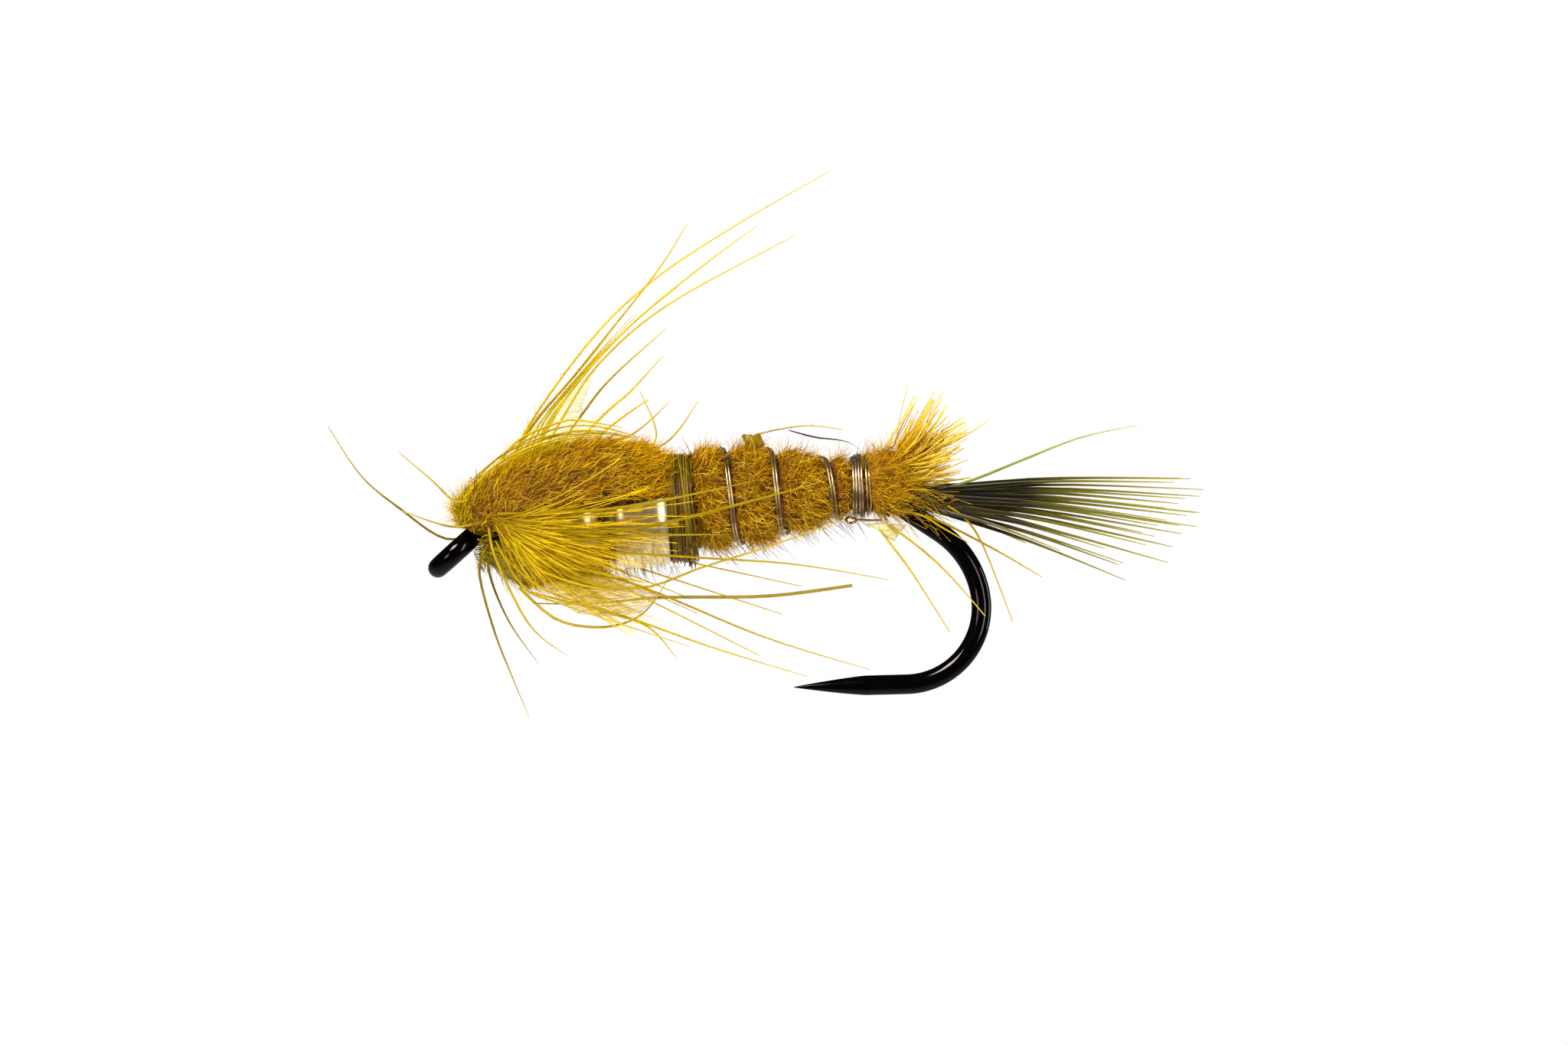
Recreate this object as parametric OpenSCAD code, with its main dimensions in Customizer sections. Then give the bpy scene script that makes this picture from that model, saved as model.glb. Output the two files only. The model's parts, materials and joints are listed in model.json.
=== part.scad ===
// Weighted fly on a barbless down-eye hook: two metal beads under a wool wing case, a wire-ribbed
// dubbed abdomen, a tail of flat barbs and soft hackle fibres.
// Millimetres. The origin is the centre of the hook eye, +X runs along the shank to the tail,
// and +Z points away from the hook point.

/* [Hook] */
// Diameter of the hook wire
wire_d = 0.52; // [0.4:0.02:0.6]
// Radius of the eye ring to the middle of its wire
eye_ring_r = 0.62; // [0.56:0.02:0.7]
// Radius of the hole through the eye
eye_bore_r = 0.38; // [0.32:0.01:0.4]
// Angle that the eye is turned down by
eye_angle = 37.5; // [20:0.5:45]
// Height of the shank above the middle of the eye
shank_z = 0.68; // [0.6:0.01:0.8]
// Where the shank starts to bend down
bend_start_x = 10.4; // [10:0.1:11]
// Radius of the finished bend at the bottom of the hook
bend_r = 2.0; // [1.8:0.05:2.2]
// Length of the ground point
point_length = 1.9; // [1.5:0.1:2]

/* [Beads and thread] */
// Outer radius of a bead
bead_r = 1.5; // [1.3:0.05:1.5]
// Length of a bead
bead_length = 1.85; // [1.6:0.05:1.9]
// Rounding of a bead's shoulders
bead_corner = 0.6; // [0.2:0.05:0.6]
// Gap between the two beads
bead_gap = 0.09; // [0.05:0.01:0.2]
// Radius over the thread that covers the shank
thread_r = 0.4; // [0.34:0.02:0.42]
// Radius of the thread band behind the beads
band_r = 1.4; // [1.2:0.05:1.45]

/* [Body] */
// Radius of the abdomen behind the thread band
abdomen_r = 1.24; // [1.1:0.02:1.3]
// Height of the abdomen's axis above the shank
abdomen_rise = 0.2; // [0.1:0.05:0.3]
// How far each segment of the abdomen bulges between turns of wire
segment_bulge = 0.07; // [0:0.01:0.1]
// Diameter of one strand of the ribbing wire
rib_d = 0.08; // [0.06:0.01:0.1]

/* [Fibres] */
// Width of a hackle fibre at its base
hackle_w = 0.07; // [0.05:0.01:0.1]
// Number of fibres in the tail
tail_count = 28; // [12:1:36]
// Number of fibres in the hackle on the far side
far_count = 14; // [6:1:20]

/* [Hidden] */
$fn = 64;

wire_r = wire_d / 2;
neck_bend_r = 0.8;
first_bend_r = 2.2;
first_bend_angle = 38;
slope_length = 1.13;
second_bend_r = 2.45;
second_bend_angle = 47;
finish_angle = 98;
point_run = 1.05;
point_tip_r = 0.012;

// The neck climbs from the ring to the shank, so its straight run follows from the two heights.
neck_run = (shank_z - eye_ring_r * sin(eye_angle) - neck_bend_r * (1 - cos(eye_angle))) / sin(eye_angle);
shank_x = (eye_ring_r + neck_run) * cos(eye_angle) + neck_bend_r * sin(eye_angle);
head_wraps_end_x = shank_x + 0.24;
head_wraps_r = 0.42;
thread_bend_angle = 32;

beads_mid_x = 3.94;
front_bead_x = beads_mid_x - (bead_length + bead_gap) / 2;
rear_bead_x = beads_mid_x + (bead_length + bead_gap) / 2;
beads_front_x = front_bead_x - bead_length / 2;
beads_rear_x = rear_bead_x + bead_length / 2;
bead_cover_r = bead_r + 0.02;

band_x = beads_rear_x + 0.02;
abdomen_x = band_x + 0.38;
abdomen_end_x = 10.98;
abdomen_z = shank_z + abdomen_rise;
abdomen_radii = [abdomen_r, abdomen_r + 0.02, abdomen_r - 0.03, 0.99, 0.78, 0.72];
// Where the wire pinches the abdomen into segments.
segment_x = [abdomen_x, 7.3, 8.5, 9.9, 10.4, abdomen_end_x];

// The wire's place along the shank at each half turn, below and above by turns.
rib_half_turns = [10.84, 10.88, 10.66, 10.7, 10.48, 10.54, 10.03, 9.76, 8.61, 8.38, 7.42, 7.15, 6.34];
rib_r = rib_d / 2;
rib_steps_per_half_turn = 10;

tag_tilt = 20;
butts_start = [11.05, 0, 1.12];
butts_tilt = 27;
butts_length = 1.4;
butts_r = 0.2;
tail_base = butts_start + butts_length * [cos(butts_tilt), 0, -sin(butts_tilt)];

// ---- Curves ----

function unit(v) = v / norm(v);

function catmull(a, b, c, d, t) =
    (2 * b + (c - a) * t + (2 * a - 5 * b + 4 * c - d) * t * t + (3 * b - a - 3 * c + d) * t * t * t) / 2;

// The point at u, from 0 to 1, on a smooth curve through the given points.
function curve_at(points, u) =
    let (last = len(points) - 1,
         s = min(max(u, 0), 1) * last,
         i = min(floor(s), last - 1))
    catmull(points[max(i - 1, 0)], points[i], points[i + 1], points[min(i + 2, last)], s - i);

function curve(points, steps) = [for (i = [0:steps]) curve_at(points, i / steps)];

function heading(path, i) = unit(path[min(i + 1, len(path) - 1)] - path[max(i - 1, 0)]);

// Rings of points around a path. The radius runs from base_r to tip_r, and flat thins the ring
// along the side direction.
function tube_points(path, base_r, tip_r, sides, flat, side) = [
    for (i = [0:len(path) - 1])
        let (along = heading(path, i),
             a = unit(cross(side, along)),
             b = cross(along, a),
             r = base_r + (tip_r - base_r) * i / (len(path) - 1))
        for (j = [0:sides - 1])
            path[i] + r * (a * cos(360 * j / sides) + b * flat * sin(360 * j / sides))
];

function tube_faces(rings, sides, first) = [
    [for (j = [0:sides - 1]) first + j],
    [for (j = [sides - 1:-1:0]) first + (rings - 1) * sides + j],
    for (i = [0:rings - 2])
        for (j = [0:sides - 1])
            let (a = first + i * sides + j,
                 b = first + i * sides + (j + 1) % sides)
            each [[a, a + sides, b], [b, a + sides, b + sides]]
];

// One solid for each path, all with the same number of rings.
module tubes(paths, base_r, tip_r, sides = 4, flat = 1, side = [0, 1, 0]) {
    rings = len(paths[0]);
    polyhedron(
        points = [for (p = paths) each tube_points(p, base_r, tip_r, sides, flat, side)],
        faces = [for (k = [0:len(paths) - 1]) each tube_faces(rings, sides, k * rings * sides)],
        convexity = 10
    );
}

module fibres(routes, base_r = hackle_w / 2, tip_r = 0.012, steps = 9, flat = 1) {
    tubes([for (r = routes) curve(r, steps)], base_r, tip_r, flat = flat);
}

// ---- Building blocks along the shank ----

// A straight length of round bar along +X, which carries what comes after it.
module run(length, r, end_r = 0) {
    rotate([0, 90, 0])
        cylinder(h = length, r1 = r, r2 = end_r > 0 ? end_r : r);
    translate([length, 0, 0])
        children();
}

// A round bar that bends down through an angle, which carries what comes after it.
module bend(bend_r, angle, r) {
    translate([0, 0, -bend_r])
        rotate([90, 0, 0])
            rotate([0, 0, 90 - angle])
                rotate_extrude(angle = angle)
                    translate([bend_r, 0])
                        circle(r);
    translate([bend_r * sin(angle), 0, bend_r * (cos(angle) - 1)])
        rotate([0, angle, 0])
            children();
}

// A solid of revolution around a line along X at the given height. The outline is [x, radius].
module lathe(outline, z = shank_z, from = 0, angle = 360) {
    translate([0, 0, z])
        rotate([0, 90, 0])
            rotate([0, 0, from])
                rotate_extrude(angle = angle)
                    polygon([for (p = outline) [p[1], p[0]]]);
}

// The shank from a place along it to past the start of the bend, at any radius.
module shank_layer(from_x, r) {
    translate([from_x, 0, shank_z])
        run(bend_start_x - from_x, r)
            bend(first_bend_r, thread_bend_angle, r);
}

module neck_layer(r) {
    rotate([0, -eye_angle, 0])
        translate([eye_ring_r + neck_run, 0, 0])
            bend(neck_bend_r, eye_angle, r)
                run(head_wraps_end_x - shank_x, r);
}

// ---- Hook ----

module hook() {
    color("#241f1d")
        rotate([0, -eye_angle, 0])
            difference() {
                union() {
                    rotate_extrude()
                        translate([eye_ring_r, 0])
                            circle(wire_r);
                    translate([eye_ring_r, 0, 0])
                        hook_wire();
                }
                cylinder(h = 2 * wire_d, r = eye_bore_r, center = true);
            }
}

// A ball a hair wider than the wire fuses two lengths of it where they meet.
module fuse() {
    sphere(wire_r + 0.002);
    children();
}

module hook_wire() {
    run(neck_run, wire_r) fuse()
    bend(neck_bend_r, eye_angle, wire_r) fuse()
    run(bend_start_x - shank_x, wire_r) fuse()
    bend(first_bend_r, first_bend_angle, wire_r) fuse()
    run(slope_length, wire_r) fuse()
    bend(second_bend_r, second_bend_angle, wire_r) fuse()
    bend(bend_r, finish_angle, wire_r) fuse()
    run(point_run, wire_r) fuse()
    run(point_length, wire_r, point_tip_r);
}

// ---- Thread ----

module thread_underbody() {
    color("#5c5512")
        difference() {
            shank_layer(head_wraps_end_x, thread_r);
            shank_layer(head_wraps_end_x - 0.1, wire_r);
            translate([bend_start_x, 0, shank_z])
                bend(first_bend_r, first_bend_angle, wire_r);
        }
}

module head_wraps() {
    color("#4a4310")
        difference() {
            neck_layer(head_wraps_r);
            rotate([0, -eye_angle, 0])
                translate([eye_ring_r, 0, 0])
                    run(neck_run, wire_r)
                        bend(neck_bend_r, eye_angle, wire_r)
                            run(2 * (head_wraps_end_x - shank_x), wire_r);
        }
}

module thread_band() {
    color("#6b6410")
        lathe([
            [band_x, thread_r], [band_x, band_r - 0.06], [band_x + 0.06, band_r],
            [abdomen_x - 0.06, band_r], [abdomen_x, band_r - 0.06], [abdomen_x, thread_r]
        ]);
}

// ---- Beads and dubbing under the wing case ----

// A point on a bead's shoulder: at 0 degrees on its end face, and at 90 on its barrel. The side
// is -1 at the front and 1 at the back.
function shoulder(x, side, a) =
    [x + side * (bead_length / 2 - bead_corner * (1 - cos(a))), bead_r - bead_corner * (1 - sin(a))];

function bead_outline(x) = [
    [x - bead_length / 2, thread_r],
    for (a = [0:15:90]) shoulder(x, -1, a),
    for (a = [90:-15:0]) shoulder(x, 1, a),
    [x + bead_length / 2, thread_r]
];

module front_bead() {
    color("#d9d6cc")
        lathe(bead_outline(front_bead_x));
}

module rear_bead() {
    color("#d9d6cc")
        lathe(bead_outline(rear_bead_x));
}

// Dark dubbing fills the bottom of the groove between the beads and leaves their round shoulders bare.
module bead_dubbing() {
    color("#3d3420")
        lathe([
            [front_bead_x + bead_length / 2, thread_r],
            for (a = [0:10:30]) shoulder(front_bead_x, 1, a),
            for (a = [30:-10:0]) shoulder(rear_bead_x, -1, a),
            [rear_bead_x - bead_length / 2, thread_r]
        ]);
}

head_outline = [[head_wraps_end_x, 0.62], [1.6, 0.95], [1.85, 1.12], [beads_front_x, 1.18]];

module head_dubbing() {
    color("#7c6f16")
        lathe(concat([[head_wraps_end_x, thread_r]], head_outline, [[beads_front_x, thread_r]]));
}

// The inside of the covers: clear of the neck wraps, over the head dubbing and over the beads.
cover_inside = concat(
    [[beads_rear_x - 0.3, bead_cover_r], [beads_front_x + 0.35, bead_cover_r], [beads_front_x, 1.2]],
    [for (i = [2:-1:0]) head_outline[i]],
    [[head_wraps_end_x, 0.5]]
);

throat_outline = [
    [0.9, 0.55], [0.78, 0.95], [1.1, 1.38], [1.6, 1.72], [2.2, 1.86], [2.8, 1.84], [3.4, 1.7], [3.8, 1.58]
];

// Webby dubbing under the thorax.
module throat_dubbing() {
    color("#a08d18")
        lathe(
            concat(
                curve(throat_outline, 14), [[3.8, bead_cover_r]],
                [for (i = [1:len(cover_inside) - 1]) cover_inside[i]]
            ),
            from = -52, angle = 104
        );
}

wing_case_outline = [
    [0.5, 0.46], [0.14, 0.6], [0.45, 1.03], [1.07, 1.43], [1.9, 1.8], [3.1, 2.1], [4.3, 2.09], [5.3, 1.8],
    [band_x, 1.45]
];

// A hank of wool pulled over the beads. It covers the top and both sides.
module wing_case() {
    color("#a97f14")
        lathe(
            concat(curve(wing_case_outline, 24), [[band_x, 1.3], [beads_rear_x, 1.3]], cover_inside),
            from = 82, angle = 196
        );
}

// ---- Abdomen ----

// The abdomen's radius at x: a taper with a bulge between each two turns of wire.
function segment_index(x, i = 0) =
    i >= len(segment_x) - 2 || x < segment_x[i + 1] ? i : segment_index(x, i + 1);

function abdomen_radius(x) =
    let (u = min(max((x - abdomen_x) / (abdomen_end_x - abdomen_x), 0), 1),
         i = segment_index(x),
         s = min(max((x - segment_x[i]) / (segment_x[i + 1] - segment_x[i]), 0), 1))
    curve_at(abdomen_radii, u) + segment_bulge * (2 * sin(180 * s) - 1);

module abdomen() {
    steps = 40;
    length = abdomen_end_x - abdomen_x;
    color("#a5781a")
        difference() {
            lathe(
                concat(
                    [[abdomen_x, 0]],
                    [for (i = [0:steps]) let (x = abdomen_x + length * i / steps) [x, abdomen_radius(x)]],
                    [[abdomen_end_x, 0]]
                ),
                z = abdomen_z
            );
            shank_layer(abdomen_x - 0.5, thread_r);
            stub_body(quill_r, 0);
        }
}

quill_r = 0.2;
quill_foot = [8.16, 0, 1.85];
quill_length = 0.62;
quill_lean = -22;

module stub_body(r, sunk) {
    translate(quill_foot - [0, 0, sunk])
        rotate([0, quill_lean, 0])
            cylinder(h = quill_length + 2 * sunk, r = r);
}

// The cut end of a hollow quill stands out of the back.
module quill_stub() {
    color("#8f8420")
        difference() {
            stub_body(quill_r, 0);
            stub_body(quill_r * 0.6, 0.1);
        }
}

// ---- Ribbing wire ----

function rib_point(u, shift) =
    let (halves = len(rib_half_turns) - 1,
         x = curve_at(rib_half_turns, u) + shift,
         phase = 180 * halves * u,
         r = abdomen_radius(x) + rib_r)
    [x, -r * sin(phase), abdomen_z - r * cos(phase)];

module rib_strand(shift) {
    steps = rib_steps_per_half_turn * (len(rib_half_turns) - 1);
    path = [for (i = [0:steps]) rib_point(i / steps, shift)];
    color("#8d8478")
        tubes([path], rib_r, rib_r, sides = 6, side = [1, 0, 0]);
}

module rib_wire_front_strand() {
    rib_strand(-rib_r - 0.005);
}

module rib_wire_rear_strand() {
    rib_strand(rib_r + 0.005);
}

// A small open loop of the wire where its end is bent back under the abdomen.
module rib_wire_loop() {
    color("#a06a3c")
        translate([10.36, -0.25, 0.02])
            rotate([35, 0, 12])
                rotate_extrude()
                    translate([0.13, 0])
                        circle(rib_r);
}

// The loose end of the wire lies along the underside.
module rib_wire_end() {
    color("#8d8478")
        tubes([curve([[10.5, -0.28, 0.02], [10.8, -0.26, -0.02], [11.15, -0.2, -0.05]], 6)], rib_r, rib_r,
            sides = 6);
}

// ---- Tag ----

tag_outline = [[-0.3, 0.66], [0.15, 0.82], [0.6, 0.86], [1.1, 0.72], [1.6, 0.46], [1.95, 0.12]];

// A tuft of yarn ends is bound around the shank behind the abdomen.
module tag_yarn() {
    color("#d0951a")
        difference() {
            translate([abdomen_end_x, 0, abdomen_z])
                rotate([0, -tag_tilt, 0])
                    lathe(concat([[-0.3, 0]], curve(tag_outline, 12), [[1.95, 0]]), z = 0);
            translate([abdomen_end_x - 2, -2, -2])
                cube([2, 4, 6]);
            shank_layer(abdomen_end_x - 1, thread_r);
            translate([bend_start_x, 0, shank_z])
                bend(first_bend_r, first_bend_angle, wire_r)
                    run(slope_length, wire_r);
            butts_body(0);
        }
}

// Where each loose end of the tag stops.
tag_tips = [
    [12.15, -0.2, 3.3], [12.8, 0.3, 3.1], [12.95, -0.5, 3.0], [12.9, 0.1, 2.55], [13.45, -0.3, 2.25],
    [14.05, 0.2, 2.3], [13.45, 0.4, 1.85], [13.2, -0.6, 1.4], [13.4, 0, 1.1], [12.6, 0.6, 2.7],
    [13.0, -0.1, 1.65], [12.3, 0.5, 2.45]
];

module tag_fibres() {
    color("#dca51e")
        fibres(
            [for (tip = tag_tips)
                let (foot = [11.15 + 0.05 * tip[0], 0.5 * tip[1], 0.9 + 0.25 * tip[2]])
                [foot, (foot + tip) / 2 + [0, 0, -0.06], tip]],
            base_r = 0.045, tip_r = 0.02, steps = 4
        );
}

// ---- Tail ----

module butts_body(extra) {
    translate(butts_start)
        rotate([0, 90 + butts_tilt, 0])
            translate([0, 0, -extra])
                cylinder(h = butts_length + 2 * extra, r = butts_r);
}

// The bound feet of the tail fibres.
module tail_butts() {
    color("#2a2818")
        difference() {
            butts_body(0);
            shank_layer(abdomen_end_x - 1, thread_r);
        }
}

// How far below straight back the fibres lie: a few on top, a gap, a dense middle and a loose lower part.
tail_fan = [[0, 3], [0.12, 4.2], [0.16, 6.5], [0.6, 13], [0.8, 19], [1, 25]];

// Tail fibre i fans down and a little to each side.
function tail_route(i) =
    let (u = i / (tail_count - 1),
         swing = 1.2 * sin(i * 137) - lookup(u, tail_fan),
         reach = 7 - 0.6 * u - 2.4 * pow(u, 4) + (0.4 + 0.9 * u * u) * sin(i * 211),
         y = sin(i * 97),
         foot = tail_base + [0, 0.2 * y, 0.28 * (1 - 2 * u)],
         tip = foot + [reach * cos(swing), 1.1 * y, reach * sin(swing)])
    [foot, foot + 0.5 * (tip - foot) + [0, 0, 0.1], tip];

module tail_fibres() {
    color("#2b2c17")
        fibres(
            [for (i = [0:tail_count - 1]) tail_route(i)],
            base_r = 0.06, tip_r = 0.01, steps = 6, flat = 0.4
        );
}

module tail_stray_fibre() {
    color("#93a832")
        fibres([
            [[12.3, -0.1, 0.55], [13.55, -0.15, 0.8], [15, -0.2, 1.25], [16.5, -0.2, 1.7], [18, -0.25, 1.9]]
        ], base_r = 0.03, tip_r = 0.01);
}

// ---- Hackle ----

// Two turns of the hackle's stem behind the head wraps.
module hackle_stem() {
    color("#8d7d1c")
        for (x = [head_wraps_end_x - 0.16, head_wraps_end_x - 0.06])
            translate([x, 0, shank_z])
                rotate([0, 90, 0])
                    rotate_extrude()
                        translate([head_wraps_r + 0.04, 0])
                            circle(0.045);
}

near_routes = [
    [[1.2, -1.4, 0.7], [3, -1.8, -0.1], [6.05, -1.9, -0.6], [8.75, -1.8, -1], [11.2, -1.6, -1.6]],
    [[1.2, -1.4, 0.6], [3, -1.7, -0.45], [5.25, -1.8, -1.5], [7.9, -1.7, -2.85], [10.55, -1.5, -3.9]],
    [[1.1, -1, 0], [2.25, -1.3, -1.15], [4.5, -1.5, -2.1], [6.5, -1.4, -3], [8.9, -1.2, -3.95]],
    [[1.1, -1.5, 0.2], [1.75, -2, -1.05], [2.8, -2.4, -1.6], [5.9, -3, -2.9]],
    [[1.3, -1.4, 0.2], [3.2, -1.7, -1], [4.85, -1.8, -1.3], [6.4, -1.9, -0.9], [8.35, -1.8, -0.45],
     [10.15, -1.6, 0.05]],
    [[1.9, -1.2, -1.2], [3.9, -1.5, -1.9], [4.9, -1.5, -2.35], [5.55, -1.6, -3.2]],
    [[1.2, -1.5, 0.9], [3, -2.2, 0.8], [5, -2.5, 0.85], [8.05, -2.7, 1.25]],
    [[1.2, -1.5, 0.8], [3, -2.2, 0.3], [4.95, -2.5, 0.25], [8, -2.8, 0.75], [9.8, -3, 1.1]],
    [[1.2, -1.5, 0.6], [3, -2.1, 0.1], [4.9, -2.4, 0.05], [7.1, -2.6, -0.1]],
    [[1.2, -1.45, 0.5], [2.2, -1.7, -0.2], [3.6, -1.85, -0.8], [5, -1.8, -1.2]],
    [[1.2, -1.45, 0.4], [2, -1.65, -0.5], [3.2, -1.75, -1.1], [4.6, -1.7, -1.4]]
];

module near_hackle() {
    color("#b5a51c")
        fibres(near_routes);
}

// Far-side fibre i fans from straight back to down, as on the near side.
function far_route(i) =
    let (u = i / (far_count - 1),
         swing = 8 - 38 * u,
         reach = 6 + 2.2 * sin(i * 149),
         foot = [1.2, 1.45, 0.7 - 0.3 * u],
         tip = foot + [reach * cos(swing), 0.9 + 0.6 * sin(i * 83), reach * sin(swing)])
    [foot, foot + 0.35 * (tip - foot) + [0, 0.35, 0.1], tip];

module far_hackle() {
    color("#b5a51c")
        fibres([for (i = [0:far_count - 1]) far_route(i)], steps = 7);
}

module throat_fibres() {
    color("#93861c")
        fibres([
            [[0.95, -0.8, 0.2], [0.6, -0.95, -0.5], [0.85, -0.95, -2.05], [1.25, -0.85, -3.4],
             [1.6, -0.75, -4.45]],
            [[0.95, -1.2, 0.55], [1.05, -1.4, -0.2], [1.6, -1.5, -1.65], [2.05, -1.45, -2.35],
             [2.7, -1.35, -2.9]],
            [[0.9, 0.9, 0.3], [0.8, 1.2, -0.6], [1.2, 1.3, -1.9], [1.9, 1.3, -3.1]],
            [[1.6, -1.1, -1.05], [2.5, -1.1, -1.95], [3.6, -1.1, -2.25], [4.55, -1.2, -2.1],
             [5.2, -1.35, -1.55], [5.75, -1.6, -0.65]]
        ]);
}

// One broad fibre lies below the body and is cut off square.
module cut_fibre() {
    color("#8f8a24")
        fibres([
            [[2, -1, -1.5], [3.5, -1.3, -1.62], [5.25, -1.3, -1.6], [8, -1.2, -1.78], [10.25, -1, -1.68]]
        ], base_r = 0.06, tip_r = 0.05);
}

// A thin fold of hackle web beside the rear bead.
module hackle_web() {
    color("#d8cf8a")
        translate([0, -1.58, 0])
            rotate([90, 0, 0])
                linear_extrude(height = 0.04)
                    polygon([
                        [2.3, -1], [3.2, -0.9], [3.92, -0.85], [4.6, -1.2], [5.21, -1.52], [4.95, -1.78],
                        [4.73, -1.94], [3.9, -2], [3.1, -1.85], [2.6, -1.5]
                    ]);
}

// ---- Fibres above and in front ----

wing_routes = [
    [[1.3, 1.5, 0.8], [1.75, 1.7, 2.6], [3.8, 1.9, 5.15], [5.65, 2.2, 6.7], [7.95, 2.6, 8], [10.55, 3, 9.25]],
    [[1.35, 1.55, 0.9], [1.85, 1.6, 2.7], [3.6, 1.3, 4.55], [5.8, 0.8, 6.9], [6.7, 0.5, 8.1]],
    [[1.4, 1.6, 0.9], [2.55, 1.9, 3.05], [3.6, 1.8, 4.3], [5.1, 1.6, 5.65], [7.05, 1.3, 7], [8.5, 1.1, 7.9]],
    [[1.45, 1.65, 0.9], [3.1, 2, 3.4], [4.2, 2.2, 4.75], [6.1, 2.5, 6.1], [9.45, 2.9, 7.6]],
    [[1.5, 1.7, 0.9], [3.5, 2, 3.3], [4.4, 1.9, 4.25], [5.9, 1.7, 5.4]],
    [[1.5, 1.7, 1], [4, 2.1, 3.2], [4.85, 2.3, 3.85], [5.75, 2.5, 4.7]],
    [[1.5, 1.75, 1.1], [4.3, 2.2, 3], [5.3, 2.5, 3.6]],
    [[1.5, 1.8, 1.2], [3.5, 2.3, 2.3], [4.85, 2.5, 2.75], [5.85, 2.7, 3.5]],
    [[1.6, 1.85, 1.1], [4, 2.4, 1.9], [5.4, 2.3, 2.5], [5.1, 2.2, 3.85]],
    [[1.6, 1.85, 1.05], [4.2, 2.4, 1.9], [5.7, 2.4, 2.45], [6.6, 2.5, 3.45]],
    [[1.1, 0.5, 1.95], [1.8, 0.3, 2.75], [2.9, 0.1, 3.15], [3.5, 0, 3.17], [4.6, -0.1, 2.9]]
];

module wing_fibres() {
    color("#cdbb22")
        fibres(wing_routes, steps = 12);
}

module head_fibres() {
    color("#a8981c")
        fibres([
            [[0.95, 0.95, 0.7], [-0.2, 0.85, 0.35], [-1.45, 0.8, 1.3], [-2.35, 0.8, 2.2], [-3.1, 0.8, 3.55]],
            [[0.7, -1.05, 0.7], [0.1, -0.85, 0.65], [-0.45, -0.75, 0.8], [-1.35, -0.7, 1.2]],
            [[0.4, -0.75, 1.3], [0.05, -0.65, 1.35], [-0.45, -0.6, 1.9], [-1.25, -0.55, 2.7]]
        ]);
}

module back_fibres() {
    color("#8a6d1c")
        fibres([
            [[7.85, 0.2, 2.2], [8.15, 0.1, 2.45], [9.35, 0, 2.57], [10.3, -0.1, 2.4]],
            [[10.95, -0.35, 1.55], [10.47, -0.4, 2.04], [9.59, -0.42, 2.25], [8.93, -0.4, 2.48]]
        ]);
}

// ---- Under the start of the bend ----

module bend_fibres() {
    color("#b09a2a")
        fibres([
            [[11.1, -0.35, -0.3], [11.35, -0.4, -0.7], [11.85, -0.5, -1.5], [12.7, -0.6, -3.1]],
            [[11.3, -0.4, -0.2], [11.65, -0.5, -0.45], [12.35, -0.6, -1.1], [12.95, -0.6, -1.8],
             [13.65, -0.5, -2.75]],
            [[12.9, -0.35, 0.2], [13.35, -0.45, -0.2], [13.75, -0.55, -0.95], [14.35, -0.7, -2.95]],
            [[12.3, -0.4, 0], [13.1, -0.5, -0.45], [14.2, -0.6, -1.15], [15.2, -0.7, -1.85]],
            [[11.5, -0.5, 0.2], [12.2, -0.55, 0], [12.7, -0.55, -0.35], [13.35, -0.5, -0.8]]
        ], base_r = 0.025, steps = 8);
}

// A pale triangular film of web under the start of the bend.
module bend_web() {
    color("#e4dfc0")
        translate([0, -0.3, 0])
            rotate([90, 0, 0])
                linear_extrude(height = 0.04)
                    polygon([[10.7, -0.12], [11.05, -0.1], [11.8, -0.22], [11.45, -0.62], [11.05, -0.3]]);
}

hook();
thread_underbody();
head_wraps();
front_bead();
rear_bead();
bead_dubbing();
head_dubbing();
throat_dubbing();
wing_case();
thread_band();
abdomen();
quill_stub();
rib_wire_front_strand();
rib_wire_rear_strand();
rib_wire_loop();
rib_wire_end();
tag_yarn();
tag_fibres();
tail_butts();
tail_fibres();
tail_stray_fibre();
hackle_stem();
near_hackle();
far_hackle();
throat_fibres();
cut_fibre();
hackle_web();
wing_fibres();
head_fibres();
back_fibres();
bend_fibres();
bend_web();
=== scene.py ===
"""A weighted trout fly on a barbless hook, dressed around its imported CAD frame.

Lengths in the classes are in millimetres and become metres when a mesh is made. The origin is the
middle of the hook eye, +X runs along the shank to the tail and +Z away from the hook point. The near
side of the fly is -Y.
"""

import json
import logging
import math
from dataclasses import dataclass, field
from enum import Enum
from typing import Any, Callable, Iterable, Sequence

import bmesh
import bpy
import numpy as np
from mathutils import Matrix, Vector, noise

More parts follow.
